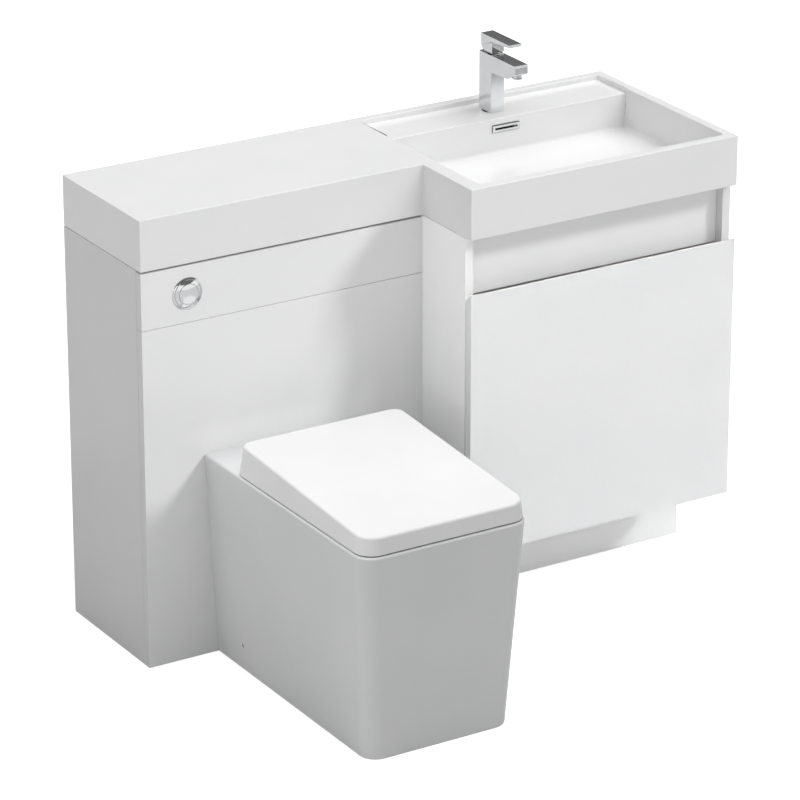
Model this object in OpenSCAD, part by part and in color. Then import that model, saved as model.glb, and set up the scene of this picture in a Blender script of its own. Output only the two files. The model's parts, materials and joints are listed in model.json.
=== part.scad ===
// Toilet and basin combination unit: a back-to-wall WC unit and a basin unit under one L-shaped worktop.
// Millimetres. X runs to the right, +Y runs back to the wall, Z is up and the floor is z = 0.
// The modules work from the unit's own corner: x = 0 at the left end, y = 0 on the wall.

/* [Overall] */
// Width of the WC unit
wc_w = 600; // [560:1:700]
// Depth of the WC unit from the wall
wc_d = 300; // [290:1:340]
// Width of the basin unit
vanity_w = 600; // [580:1:800]
// Depth of the basin unit from the wall
vanity_d = 470; // [460:1:520]
// Height of the worktop above the floor
unit_h = 890; // [870:1:930]

/* [Boards] */
// Thickness of the furniture boards
board = 18; // [16:1:20]
// Gap between the drawer front, the plinth and the carcass
front_gap = 2; // [1.5:0.5:3]
// Seam between the two WC fronts, and between a front and the board edge behind it
seam = 0.8; // [0.5:0.1:0.9]
// Height of the removable front with the flush button
access_h = 110; // [104:1:120]
// Shadow gap under the worktop
shadow_gap = 4; // [3:1:6]
// Height of the rails behind the carcasses
rail_h = 90; // [70:1:100]
// Height of the lower rails above the floor or the base
low_rail_z = 20; // [10:1:30]
// Distance of the wall screws from the ends of a rail
wall_screw_in = 60; // [40:1:90]
// Radius of the holes for the wall screws
wall_screw_r = 4; // [3:0.5:5]
// Height of the plinth
plinth_h = 150; // [130:1:170]
// Setback of the recessed board over the drawer from the carcass edge
grip_setback = 20; // [16:1:26]
// How far the recessed board reaches down behind the drawer front
grip_overlap = 14; // [8:1:30]
// Distance of the corner blocks and the joining screws from the boards' ends
block_in = 60; // [50:1:80]

/* [Worktop] */
// Height of the worktop's edge
top_h = 100; // [90:1:110]
// Thickness of the worktop's skin
top_skin = 20; // [16:1:22]
// Thickness of the deck under the tap
deck_skin = 12; // [10:1:13]
// Thickness of the worktop's edge walls
edge_wall = 18; // [16:1:20]
// Width of the rim round the basin at the front, right and back
rim_w = 20; // [18:1:24]
// Width of the rim at the left of the bowl
left_rim_w = 30; // [26:1:36]
// Step down from the rim to the tap deck
deck_drop = 10; // [6:1:12]
// Distance from the wall to the back of the bowl
bowl_back = 120; // [112:1:130]
// Depth of the bowl below the rim
bowl_depth = 80; // [72:1:84]

/* [Drawer] */
// Height of the open grip between the worktop and the drawer front
grip_gap = 108; // [104:1:125]
// Thickness of the drawer's side and back boards
drawer_board = 15; // [12:1:16]
// Room between the drawer box and the trap over it
drawer_headroom = 87; // [30:1:200]
// Thickness of the drawer's bottom
drawer_base_t = 8; // [6:1:10]
// Length of the drawer box and its runners
drawer_len = 400; // [350:5:405]
// Width of a runner
runner_t = 12.7; // [12.5:0.1:14]
// Height of a runner
runner_h = 45; // [42:1:50]
// Thickness of the runner's steel
runner_steel = 1.5; // [1.2:0.1:1.6]
// Room between the nested runner members
runner_clear = 0.5; // [0.4:0.1:0.6]

/* [Pan] */
// Width of the pan at its rim
pan_w = 350; // [340:1:370]
// Width of the pan at the floor
pan_floor_w = 304; // [290:1:320]
// Projection of the pan at its rim
pan_l = 576; // [556:1:590]
// Projection of the pan at the floor
pan_floor_l = 552; // [530:1:566]
// Height of the pan's rim
pan_h = 410; // [400:1:425]
// Radius of the pan's front corners
pan_corner_r = 36; // [30:1:42]
// Thickness of the ceramic
ceramic = 12; // [10:1:13]
// Thickness of the deck and rim
pan_rim_t = 28; // [26:1:32]
// Height of the outlet's axis
outlet_z = 185; // [180:1:190]
// Outer radius of the outlet spigot
spigot_r = 51; // [49:0.5:52]
// Height of the flush inlet's axis
inlet_z = 345; // [340:1:348]
// Radius of the flush inlet
inlet_r = 27.5; // [26.5:0.5:28.5]
// Outer radius of the trapway
trapway_r = 41; // [39:1:43]

/* [Seat] */
// Width of the lid
lid_w = 347; // [336:1:348]
// Distance from the WC unit to the back of the lid
lid_back = 113; // [108:1:120]
// Height of the lid above the deck at its back
lid_back_h = 64; // [58:1:68]
// Height of the lid above the deck at its front
lid_front_h = 36; // [34:1:42]
// Thickness of the lid's shell
lid_wall = 5; // [4:0.5:5.5]
// Gap between the lid and the pan
lid_gap = 2.5; // [2:0.5:3]
// Height of the hinge axis above the deck
hinge_h = 30; // [29:0.5:32]
// Distance from the back of the lid to the hinge axis
hinge_in = 20; // [18:1:22]
// Distance between the hinge posts
hinge_span = 155; // [140:1:170]
// Radius of the hinge pins
hinge_pin_r = 5; // [4:0.5:5.5]
// Running clearance of the hinge bores
pin_fit = 0.05; // [0.02:0.01:0.08]
// Thickness of the seat ring
seat_t = 16; // [14:1:18]
// Height of the seat's rubber buffers
buffer_h = 4.5; // [4:0.5:5]

/* [Flushing] */
// Centre of the flush button from the left end
button_x = 96; // [85:1:110]
// Outer radius of the button's ring
bezel_r = 31; // [31:1:34]
// Radius of the full flush button
button_r = 27; // [26.5:0.5:27.5]
// Radius of the half flush button
half_r = 19.5; // [18:0.5:20]
// Travel of the buttons
button_travel = 6; // [5:0.5:7]
// Width of the cistern
cistern_w = 390; // [360:1:400]
// Depth of the cistern
cistern_d = 150; // [140:1:160]
// Room between the cistern's lid and the worktop
cistern_gap = 45; // [30:1:60]
// Straight length of the flush pipe under the cistern
flush_drop = 35; // [30:1:45]
// Thickness of the cistern's walls
cistern_wall = 4; // [3:0.5:5]
// Outer radius of the flush pipe
flush_pipe_r = 25; // [24:0.5:26]
// Outer radius of the pipe to the soil stack
soil_r = 55; // [54.5:0.5:56]
// Radius of the fill valve's threaded tail
tail_r = 10.4; // [10:0.1:10.5]

/* [Waste] */
// Distance from the wall to the waste
waste_back = 325; // [315:1:345]
// Radius of the waste's thread
waste_r = 21; // [20:0.5:21.5]
// Radius of the waste's flange
waste_flange_r = 32; // [30:1:34]
// Radius of the waste pipe
pipe_r = 16; // [15:0.5:17]
// Width of the overflow trim
overflow_w = 60; // [50:1:66]
// Height of the overflow trim
overflow_h = 13; // [12:0.5:16]

/* [Tap] */
// Width of the tap's body
tap_w = 30; // [29:1:34]
// Depth of the tap's body
tap_d = 44; // [40:1:48]
// Height of the tap's body
tap_h = 118; // [112:1:126]
// Reach of the spout in front of the body's middle
spout_reach = 105; // [95:1:115]
// Height of the spout's tip
spout_tip_h = 18; // [16:1:20]
// Width of the lever
lever_w = 28; // [26:1:30]
// Thickness of the lever's blade
lever_t = 6; // [5:0.5:8]
// Radius of the tap's hole in the deck
tap_hole_r = 17.5; // [17:0.5:18]
// Radius of the tap's threaded inlets
tap_inlet_r = 5; // [4.5:0.25:5]
// Radius of the tap's fixing stud
tap_stud_r = 3.35; // [3:0.05:4]

/* [Hidden] */
$fn = 48;
fine = 72;
eps = 0.01;

white = "whitesmoke";
chrome = "silver";
steel = "lightsteelblue";
plastic = "gainsboro";
rubber = "dimgray";

// Overall places
unit_w = wc_w + vanity_w;
unit_d = wc_d + pan_l;
under_z = unit_h - top_h;
split_z = under_z - shadow_gap - access_h - seam / 2;
wc_mid = wc_w / 2;
vanity_mid = wc_w + vanity_w / 2;

// Carcasses
wc_side_d = wc_d - board - seam;
vanity_side_d = vanity_d - board - front_gap;
front_back_y = -vanity_d + board;
grip_y = -vanity_side_d + grip_setback;
soil_hole_r = soil_r + 4;
flush_hole_r = flush_pipe_r + 6;
block = [25, 25, 40];
clip = [20, 16, 20];

// Bowl and tap deck
rim_front_y = -vanity_d + rim_w;
bowl_left_x = wc_w + left_rim_w;
bowl_right_x = unit_w - rim_w;
bowl_floor_z = unit_h - bowl_depth;
deck_z = unit_h - deck_drop;
bowl_wall = 15;

// Waste
waste_y = -waste_back;
trap_h = 95;
trap_z = under_z - 2 * trap_h;
trap_outlet_z = trap_z + trap_h - 27;
thread_l = 70;
plug_t = 4;
cup_r = 30;
trap_nut_l = 20;

// Drawer
drawer_top_z = under_z - grip_gap;
inner_left = wc_w + board;
inner_right = unit_w - board;
box_left = inner_left + runner_t;
box_right = inner_right - runner_t;
box_z = plinth_h + board + 20;
drawer_side_h = trap_z - 5 - drawer_headroom - box_z;
box_back_y = front_back_y + drawer_len;
runner_z = box_z + 12;

// Pan
pan_outlet_l = 60;
rim_edge = 6;
u_bend_r = 45;
elbow_r = 60;
spigot_wall = 8;
trapway_bore = trapway_r - 8;
elbow_y = -(u_bend_r + elbow_r);
sump_y = elbow_y - elbow_r - 2 * u_bend_r;
elbow_z = outlet_z - elbow_r;
bend_z = elbow_z - 5;
bracket_y = -100;
bracket_z = 50;
bracket_hole_r = 5;

// Seat
hinge_y = -(lid_back + hinge_in);
hinge_z = pan_h + hinge_h;
lid_z = pan_h + lid_gap;
lid_front = pan_l - 3;
lid_back_r = 22;
barrel_r = 9;
post_r = 8;
stud_r = 6;
post_w = 19;
knuckle_w = 16;
knuckle_gap = 0.8;
seat_inset = 4;
seat_z = pan_h + buffer_h;
opening_w = 220;
opening_l = 275;
opening_r = 100;
opening_y = -343;

// Buttons
button_z = (split_z + under_z) / 2;
ring_step = 0.3;
housing_r = button_r + 1.5;
housing_l = 40;
dome_h = 8;

// Cistern
cistern_back = board + 4;
cistern_y = -cistern_back - cistern_d / 2;
cistern_lid_h = 15;
flush_bend_r = 50;
cistern_z = inlet_z + flush_bend_r + flush_drop;
cistern_h = under_z - cistern_gap - cistern_lid_h - cistern_z;
flush_wall = 2.5;
fill_x = wc_mid + cistern_w / 2 - 75;
column_r = 10;
core_r = 14;
valve_r = 22;

// Tap
tap_y = -68;
seal_t = 1.5;
cartridge_r = 12.5;
cartridge_l = 34;
tilt_z = tap_h - 6;
lever_z = tap_h + 3;
lever_top = tap_h + 36;
lever_front = 84;
spindle_w = 8;
socket_clear = 0.1;
stud_y = 9;
inlet_x = tap_inlet_r + 1.5;

// Points along an arc about c, from angle a0 to a1
function arc(c, r, a0, a1, n) = [for (i = [0:n]) let (a = a0 + (a1 - a0) * i / n) c + r * [cos(a), sin(a)]];

// Outline of a tray seen from above: straight sides, round corners, square at the back where rb is 0
function tray(w, back, front, rb, rf, n = 8) = concat(
    rb > 0 ? arc([w / 2 - rb, back - rb], rb, 0, 90, n) : [[w / 2, back]],
    rb > 0 ? arc([-w / 2 + rb, back - rb], rb, 90, 180, n) : [[-w / 2, back]],
    arc([-w / 2 + rf, front + rf], rf, 180, 270, n),
    arc([w / 2 - rf, front + rf], rf, 270, 360, n));

// Box between two opposite corners
module slab(a, b) {
    translate(a) cube(b - a);
}

// Cylinders that start at a point and run along one axis
module rod_x(p, r, l) {
    translate(p) rotate([0, 90, 0]) cylinder(r = r, h = l);
}

module rod_y(p, r, l) {
    translate(p) rotate([-90, 0, 0]) cylinder(r = r, h = l);
}

module rod_z(p, r, l) {
    translate(p) cylinder(r = r, h = l);
}

// Box with round upright corners
module round_box(a, b, r) {
    slab([a[0] + r, a[1], a[2]], [b[0] - r, b[1], b[2]]);
    slab([a[0], a[1] + r, a[2]], [b[0], b[1] - r, b[2]]);
    for (x = [a[0] + r, b[0] - r], y = [a[1] + r, b[1] - r])
        rod_z([x, y, a[2]], r, b[2] - a[2]);
}

// Side profile in y and z, extruded along x from x0
module profile_x(points, x0, w) {
    translate([x0, 0, 0]) rotate([90, 0, 90]) linear_extrude(w) polygon(points);
}

// Bend in the y-z plane about a centre, from angle a through sweep
module bend_x(c, major, minor, a, sweep) {
    translate(c) rotate([90, 0, 90]) rotate([0, 0, a])
        rotate_extrude(angle = sweep, $fn = fine) translate([major, 0]) circle(r = minor);
}

// Moves a piece from the unit's corner frame to the part's frame
module in_unit() {
    translate([-unit_w / 2, unit_d / 2, 0]) children();
}

module in_pan() {
    in_unit() translate([wc_mid, -wc_d, 0]) children();
}

module in_tap() {
    in_unit() translate([vanity_mid, tap_y, deck_z]) children();
}

module both_sides() {
    children();
    mirror([1, 0, 0]) children();
}

// ---- WC unit ----

module wc_side_left() {
    color(white) in_unit() slab([0, -wc_side_d, 0], [board, 0, under_z]);
}

module wc_side_right() {
    color(white) in_unit() difference() {
        slab([wc_w - board, -wc_side_d, 0], [wc_w, 0, under_z]);
        joining_holes();
    }
}

module wc_front_lower() {
    color(white) in_unit() difference() {
        slab([0, -wc_d, 0], [wc_w, -wc_d + board, split_z - seam / 2]);
        rod_y([wc_mid, -wc_d - 1, outlet_z], soil_hole_r, board + 2);
        rod_y([wc_mid, -wc_d - 1, inlet_z], flush_hole_r, board + 2);
    }
}

module wc_front_upper() {
    color(white) in_unit() difference() {
        slab([0, -wc_d, split_z + seam / 2], [wc_w, -wc_d + board, under_z - shadow_gap]);
        rod_y([button_x, -wc_d - 1, button_z], housing_r + 0.5, board + 2);
    }
}

module rail(x0, x1, z0, drilled) {
    difference() {
        slab([x0, -board, z0], [x1, 0, z0 + rail_h]);
        if (drilled)
            for (x = [x0 + wall_screw_in, x1 - wall_screw_in])
                rod_y([x, -board - 1, z0 + rail_h / 2], wall_screw_r, board + 2);
    }
}

module wc_back_rails() {
    color("burlywood") in_unit() {
        rail(board, wc_w - board, under_z - rail_h, true);
        rail(board, wc_w - board, low_rail_z, false);
    }
}

module panel_blocks() {
    color(plastic) in_unit() for (z = [block_in, split_z - 2 * block_in]) {
        translate([board, -wc_d + board, z]) cube(block);
        translate([wc_w - board - block[0], -wc_d + board, z]) cube(block);
    }
}

module access_clips() {
    color(plastic) in_unit() translate([0, -wc_d + board, split_z + 45]) {
        translate([board, 0, 0]) cube(clip);
        translate([wc_w - board - clip[0], 0, 0]) cube(clip);
    }
}

// ---- Basin unit ----

module vanity_side_left() {
    color(white) in_unit() difference() {
        slab([wc_w, -vanity_side_d, plinth_h], [inner_left, 0, under_z]);
        joining_holes();
    }
}

module vanity_side_right() {
    color(white) in_unit() slab([inner_right, -vanity_side_d, plinth_h], [unit_w, 0, under_z]);
}

module vanity_base() {
    color(white) in_unit() slab([inner_left, -vanity_side_d, plinth_h], [inner_right, 0, plinth_h + board]);
}

module vanity_back_rails() {
    color("burlywood") in_unit() {
        rail(inner_left, inner_right, under_z - rail_h, true);
        rail(inner_left, inner_right, plinth_h + board + low_rail_z, false);
    }
}

module grip_panel() {
    color(white) in_unit()
        slab([inner_left, grip_y, drawer_top_z - grip_overlap], [inner_right, grip_y + board, under_z]);
}

module plinth_front() {
    color(white) in_unit() slab([wc_w, -wc_d, 0], [unit_w, -wc_d + board, plinth_h - front_gap]);
}

module plinth_end() {
    color(white) in_unit() slab([unit_w - board, -wc_d + board, 0], [unit_w, 0, plinth_h - front_gap]);
}

foot_r = 14;
foot_x = 70;
foot_back_y = -60;
foot_front_y = -wc_d + board + 34;

module adjustable_feet() {
    color("dimgray") in_unit() for (x = [wc_w + foot_x, unit_w - foot_x], y = [foot_front_y, foot_back_y])
        translate([x, y, 0]) {
            cylinder(r = 26, h = 12);
            cylinder(r = foot_r, h = plinth_h);
            translate([0, 0, plinth_h - 30]) cylinder(r = 24, h = 24);
            translate([0, 0, plinth_h - 6]) cylinder(r = 32, h = 6);
        }
}

// C-shaped clips that snap on the front feet and carry the plinth board
module plinth_clips() {
    clip_h = 20;
    clip_z = 60;
    color(plastic) in_unit() for (x = [wc_w + foot_x, unit_w - foot_x])
        translate([x, foot_front_y, clip_z]) difference() {
            union() {
                cylinder(r = foot_r + 4, h = clip_h);
                slab([-18, -wc_d + board - foot_front_y, 0], [18, -foot_r, clip_h]);
            }
            translate([0, 0, -1]) cylinder(r = foot_r + pin_fit, h = clip_h + 2);
            slab([-9, 0, -1], [9, foot_r + 6, clip_h + 1]);
        }
}

joining_r = 4;
joining_z = plinth_h + 2 * block_in;

module joining_holes() {
    for (y = [-block_in, block_in - wc_side_d])
        rod_x([wc_w - board - 1, y, joining_z], joining_r + 0.3, 2 * board + 2);
}

module joining_screws() {
    z = joining_z;
    color(steel) in_unit() for (y = [-block_in, block_in - wc_side_d]) {
        rod_x([wc_w - board - 4, y, z], 9, 4);
        rod_x([wc_w - board, y, z], joining_r, 2 * board);
        rod_x([inner_left, y, z], 9, 4);
    }
}

// ---- Worktop and basin ----

module basin_top() {
    color(white) in_unit() difference() {
        union() {
            slab([0, -wc_d, under_z], [unit_w, 0, unit_h]);
            slab([wc_w, -vanity_d, under_z], [unit_w, 0, unit_h]);
        }
        // hollow under the WC deck
        slab([edge_wall, -wc_d + edge_wall, under_z - 1], [wc_w, -edge_wall, unit_h - top_skin]);
        // hollow under the tap deck
        slab([bowl_left_x, -bowl_back + bowl_wall, under_z - 1],
            [unit_w - edge_wall, -edge_wall, deck_z - deck_skin]);
        // sunken tap deck
        slab([bowl_left_x, -bowl_back - 1, deck_z], [bowl_right_x, -rim_w, unit_h + 1]);
        bowl();
        // waste, its seat, the tap hole and the overflow slot
        rod_z([vanity_mid, waste_y, under_z - 1], waste_r + 1.5, bowl_depth);
        rod_z([vanity_mid, waste_y, bowl_floor_z - 3], waste_flange_r + 0.5, 4);
        rod_z([vanity_mid, tap_y, deck_z - deck_skin - 1], tap_hole_r, deck_skin + 2);
        slab([vanity_mid - overflow_w / 2 + 6, -bowl_back - 1, overflow_z - overflow_h / 2 + 3],
            [vanity_mid + overflow_w / 2 - 6, -bowl_back + bowl_wall + 1, overflow_z + overflow_h / 2 - 3]);
    }
}

overflow_z = deck_z - 21;

// Bowl with straight walls and a small cove along its floor
module bowl() {
    cove = 8;
    x0 = bowl_left_x;
    x1 = bowl_right_x;
    y0 = rim_front_y;
    y1 = -bowl_back;
    slab([x0, y0, bowl_floor_z + cove], [x1, y1, unit_h + 1]);
    slab([x0 + cove, y0 + cove, bowl_floor_z], [x1 - cove, y1 - cove, unit_h + 1]);
    for (y = [y0 + cove, y1 - cove]) rod_x([x0 + cove, y, bowl_floor_z + cove], cove, x1 - x0 - 2 * cove);
    for (x = [x0 + cove, x1 - cove]) rod_y([x, y0 + cove, bowl_floor_z + cove], cove, y1 - y0 - 2 * cove);
    for (x = [x0 + cove, x1 - cove], y = [y0 + cove, y1 - cove])
        translate([x, y, bowl_floor_z + cove]) sphere(r = cove);
}

// Chrome frame of the overflow with its slot, pushed into the bowl's back wall
module overflow_trim() {
    face = 2;
    w = overflow_w / 2;
    h = overflow_h / 2;
    color(chrome) in_unit() translate([vanity_mid, -bowl_back, overflow_z]) difference() {
        union() {
            slab([-w, -face, -h], [w, 0, h]);
            slab([-w + 6.2, 0, -h + 3.2], [w - 6.2, 9, h - 3.2]);
        }
        slab([-w + 8, -face - 1, -2], [w - 8, 10, 2]);
    }
}

// Moulded duct behind the bowl's back wall that leads the overflow down and forward to the waste
module overflow_duct() {
    wall = 2;
    depth = 16;
    half = overflow_w / 2;
    back_y = -bowl_back + bowl_wall;
    end_y = back_y + depth;
    low_z = under_z - depth;
    high_z = overflow_z + overflow_h / 2;
    collar_r = waste_r + 6;
    color(plastic) in_unit() translate([vanity_mid, 0, 0]) difference() {
        union() {
            slab([-half, back_y, low_z], [half, end_y, high_z]);
            slab([-half / 2, waste_y, low_z], [half / 2, end_y, under_z]);
            rod_z([0, waste_y, low_z], collar_r, depth);
        }
        slab([-half + wall, back_y + wall, low_z + wall], [half - wall, end_y - wall, high_z - wall]);
        slab([-half / 2 + wall, waste_y, low_z + wall], [half / 2 - wall, end_y - wall, under_z - wall]);
        slab([-half + 6, back_y - 1, overflow_z - 3], [half - 6, back_y + wall + 1, overflow_z + 3]);
        rod_z([0, waste_y, low_z - 1], waste_r + 0.3, depth + 2);
    }
}

waste_bore = waste_r - 3;

// Slotted waste: flange in the bowl floor and threaded tube
module waste_body() {
    color(chrome) in_unit() translate([vanity_mid, waste_y, 0]) difference() {
        union() {
            rod_z([0, 0, bowl_floor_z - 3], waste_flange_r, 5);
            rod_z([0, 0, under_z - thread_l], waste_r, thread_l + bowl_floor_z - under_z - 1);
        }
        rod_z([0, 0, under_z - thread_l - 1], waste_bore, thread_l + bowl_depth);
        slab([-waste_r - 1, -6, under_z - 12], [waste_r + 1, 6, under_z - 6]);
    }
}

// Bridge across the tube with the boss that guides the plug
module waste_bridge() {
    span = waste_bore - 0.15;
    color(chrome) in_unit() translate([vanity_mid, waste_y, under_z - 40]) difference() {
        union() {
            slab([-span, -2, 0], [span, 2, 10]);
            cylinder(r = 7, h = 10);
        }
        translate([0, 0, -1]) cylinder(r = 4 + pin_fit, h = 12);
    }
}

module waste_nut() {
    nut_z = under_z - 16 - 12;
    color(plastic) in_unit() translate([vanity_mid, waste_y, nut_z]) difference() {
        cylinder(r = waste_r + 10, h = 12, $fn = 6);
        translate([0, 0, -1]) cylinder(r = waste_r + pin_fit, h = 14);
    }
}

module waste_plug() {
    cap_r = waste_flange_r - 1;
    color(chrome) in_unit() translate([vanity_mid, waste_y, 0]) {
        translate([0, 0, bowl_floor_z + 2.1]) rotate_extrude($fn = fine)
            polygon(concat([[0, 0], [cap_r, 0]], arc([cap_r - 2, plug_t - 2], 2, 0, 90, 6),
                [[0, plug_t + 1.5]]));
        rod_z([0, 0, under_z - 50], 4, 50 + bowl_floor_z - under_z + 2.1);
        rod_z([0, 0, bowl_floor_z - 8], 9, 10.1);
    }
}

// Bottle trap: inlet tube with its cup, the bottle and the side outlet
module trap_body() {
    top_z = under_z - thread_l;
    color(white) in_unit() translate([vanity_mid, waste_y, 0]) {
        difference() {
            union() {
                rod_z([0, 0, trap_z], cup_r, trap_h);
                rod_z([0, 0, trap_z - 5], cup_r - 8, 6);
                rod_z([0, 0, trap_z + trap_h - 1], pipe_r, top_z - trap_z - trap_h + 1);
                rod_y([0, 0, trap_outlet_z], pipe_r + 5, cup_r + 16);
            }
            rod_z([0, 0, trap_z + 3], cup_r - 3, trap_h - 6);
            rod_z([0, 0, trap_z + trap_h - 4], pipe_r - 2, top_z - trap_z - trap_h + 5);
            rod_y([0, 0, trap_outlet_z], pipe_r - 2, cup_r + 17);
            rod_y([0, cup_r + 2, trap_outlet_z], pipe_r + pin_fit, 15);
        }
    }
}

module trap_nuts() {
    color(white) in_unit() translate([vanity_mid, waste_y, 0]) {
        difference() {
            rod_z([0, 0, under_z - thread_l - 14], waste_r + 7, 32);
            rod_z([0, 0, under_z - thread_l], waste_r + pin_fit, 19);
            rod_z([0, 0, under_z - thread_l - 15], pipe_r + pin_fit, 16);
        }
        difference() {
            rod_y([0, cup_r + 8, trap_outlet_z], pipe_r + 9, trap_nut_l);
            rod_y([0, cup_r + 7, trap_outlet_z], pipe_r + 5 + pin_fit, 9);
            rod_y([0, cup_r + 15, trap_outlet_z], pipe_r + pin_fit, trap_nut_l - 6);
        }
    }
}

// Pipe to the wall, with its end turned down where it sits in the trap
module trap_outlet() {
    start = cup_r + 6;
    free = cup_r + 8 + trap_nut_l;
    color(white) in_unit() translate([vanity_mid, waste_y, trap_outlet_z]) difference() {
        union() {
            rod_y([0, start, 0], pipe_r - 0.3, free - start);
            rod_y([0, free, 0], pipe_r, waste_back - free);
        }
        rod_y([0, start - 1, 0], pipe_r - 2, waste_back - start + 2);
    }
}

// ---- Tap ----

module tap_body() {
    half = tap_d / 2;
    under_spout = tap_h - 34;
    color(chrome) in_tap() difference() {
        profile_x([[half, seal_t], [half, tap_h], [-spout_reach, tap_h],
            [-spout_reach, tap_h - spout_tip_h], [-spout_reach + 37, under_spout + 1],
            [-half, under_spout], [-half, seal_t]], -tap_w / 2, tap_w);
        rod_z([0, 0, tap_h - cartridge_l], cartridge_r + pin_fit, cartridge_l + 1);
        rod_z([0, 14 - spout_reach, tap_h - spout_tip_h - 12], 8.5 + pin_fit, 20);
        rod_z([0, stud_y, seal_t - 1], tap_stud_r + pin_fit, 21);
        for (x = [-1, 1] * inlet_x) rod_z([x, -7, seal_t - 1], tap_inlet_r, 16);
    }
}

module tap_seal() {
    color(rubber) in_tap() difference() {
        slab([-tap_w / 2 + 1, -tap_d / 2 + 1, 0], [tap_w / 2 - 1, tap_d / 2 - 1, seal_t]);
        slab([-tap_w / 2 + 3, -tap_d / 2 + 5, -1], [tap_w / 2 - 3, tap_d / 2 - 5, seal_t + 1]);
    }
}

module tap_aerator() {
    mouth_z = tap_h - spout_tip_h - 13;
    color(chrome) in_tap() translate([0, 14 - spout_reach, mouth_z]) difference() {
        union() {
            cylinder(r = 8.5, h = 20);
            cylinder(r = 9.5, h = 3);
        }
        translate([0, 0, -1]) cylinder(r = 7, h = 4);
    }
}

module tap_fixing() {
    color(steel) in_tap() rod_z([0, stud_y, -60], tap_stud_r, 60 + seal_t + 18);
}

module tap_clamp() {
    color(steel) in_tap() translate([0, 0, -deck_skin - 3]) difference() {
        cylinder(r = tap_hole_r + 2.5, h = 3);
        slab([-12, -30, -1], [12, 2, 4]);
        rod_z([0, stud_y, -1], tap_stud_r + pin_fit, 5);
    }
}

module tap_nut() {
    color("gold") in_tap() translate([0, stud_y, -deck_skin - 3 - 12]) difference() {
        cylinder(r = 7, h = 12, $fn = 6);
        translate([0, 0, -1]) cylinder(r = tap_stud_r + pin_fit, h = 14);
    }
}

// Turning sleeve of the mixer cartridge, slotted for the spindle and drilled for its cross pin
module tap_cartridge() {
    color("dimgray") in_tap() difference() {
        rod_z([0, 0, tap_h - cartridge_l + 1], cartridge_r, cartridge_l - 1);
        slab([-spindle_w / 2 - 0.3, -10, tilt_z - 12], [spindle_w / 2 + 0.3, 10, tap_h + 2]);
        rod_x([-cartridge_r, 0, tilt_z], 2, 2 * cartridge_r);
    }
}

module tap_spindle() {
    color(steel) in_tap() {
        slab([-spindle_w / 2, -spindle_w / 2, tilt_z - 8], [spindle_w / 2, spindle_w / 2, lever_z + 14]);
        rod_x([-cartridge_r + 2, 0, tilt_z], 2 - pin_fit, 2 * cartridge_r - 4);
    }
}

// Lever: a block over the body with a rounded heel, and a thin blade towards the user
module tap_lever() {
    back = tap_d / 2 - 4;
    half = tap_d / 2;
    heel = back - 3;
    color(chrome) in_tap() difference() {
        profile_x(concat([[back, lever_top], [-lever_front, lever_top], [-lever_front, lever_top - lever_t],
            [-half, lever_top - lever_t - 4], [-half, lever_z]],
            arc([back - heel, lever_z + heel], heel, 270, 360, 8)), -lever_w / 2, lever_w);
        slab([-spindle_w / 2, -spindle_w / 2, lever_z - 1] - [1, 1, 0] * socket_clear,
            [spindle_w / 2, spindle_w / 2, lever_z + 14] + [1, 1, 1] * socket_clear);
    }
}

// ---- Drawer ----

// The back of the top edge slopes away as a finger pull
module drawer_front() {
    lip = 2.5;
    bottom = plinth_h + front_gap;
    color(white) in_unit() profile_x([[-vanity_d, bottom], [-vanity_d, drawer_top_z],
        [-vanity_d + lip, drawer_top_z], [front_back_y, drawer_top_z - board + lip],
        [front_back_y, bottom]], wc_w + front_gap / 2, vanity_w - front_gap);
}

module drawer_sides() {
    color("lightgray") in_unit() {
        slab([box_left, front_back_y, box_z], [box_left + drawer_board, box_back_y, box_z + drawer_side_h]);
        slab([box_right - drawer_board, front_back_y, box_z],
            [box_right, box_back_y, box_z + drawer_side_h]);
    }
}

module drawer_back() {
    color("lightgray") in_unit() slab([box_left + drawer_board, box_back_y - drawer_board, box_z],
        [box_right - drawer_board, box_back_y, box_z + drawer_side_h]);
}

module drawer_base() {
    color("lightgray") in_unit() slab([box_left + drawer_board, front_back_y, box_z + 10],
        [box_right - drawer_board, box_back_y - drawer_board, box_z + 10 + drawer_base_t]);
}

// A channel along the drawer: web at x = 0, flanges reach out by w, h high
module channel(w, h, t) {
    slab([0, 0, 0], [t, drawer_len, h]);
    for (z = [0, h - t]) slab([0, 0, z], [w, drawer_len, z + t]);
}

// Puts a runner member at the left carcass side and its mirror image at the right
module at_runners() {
    in_unit() translate([(inner_left + inner_right) / 2, 0, 0]) both_sides()
        translate([-(inner_right - inner_left) / 2, front_back_y, runner_z]) children();
}

module runner_outer() {
    color(steel) at_runners() channel(runner_t - 2.5, runner_h, runner_steel);
}

// The middle member's web stands between the other two webs, with a flange on each side of it
module runner_middle() {
    inset = runner_steel + runner_clear;
    web_x = (runner_t - runner_steel) / 2;
    color(steel) at_runners() translate([0, 0, inset]) {
        slab([web_x, 0, 0], [web_x + runner_steel, drawer_len, runner_h - 2 * inset]);
        for (z = [0, runner_h - 2 * inset - runner_steel])
            slab([inset, 0, z], [runner_t - inset, drawer_len, z + runner_steel]);
    }
}

module runner_inner() {
    inset = 2 * (runner_steel + runner_clear);
    web_x = (runner_t + runner_steel) / 2 + runner_clear;
    color(steel) at_runners() translate([runner_t, 0, inset]) mirror([1, 0, 0])
        channel(runner_t - web_x, runner_h - 2 * inset, runner_steel);
}

// ---- Pan ----

module pan_slab(w, l, r, z, t = eps, back = 0) {
    translate([0, 0, z]) linear_extrude(t) polygon(tray(w, back, -l, 0, r));
}

module oval_slab(w, l, y, r, z) {
    translate([0, y, z]) linear_extrude(eps) polygon(tray(w, l / 2, -l / 2, r, r));
}

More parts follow.
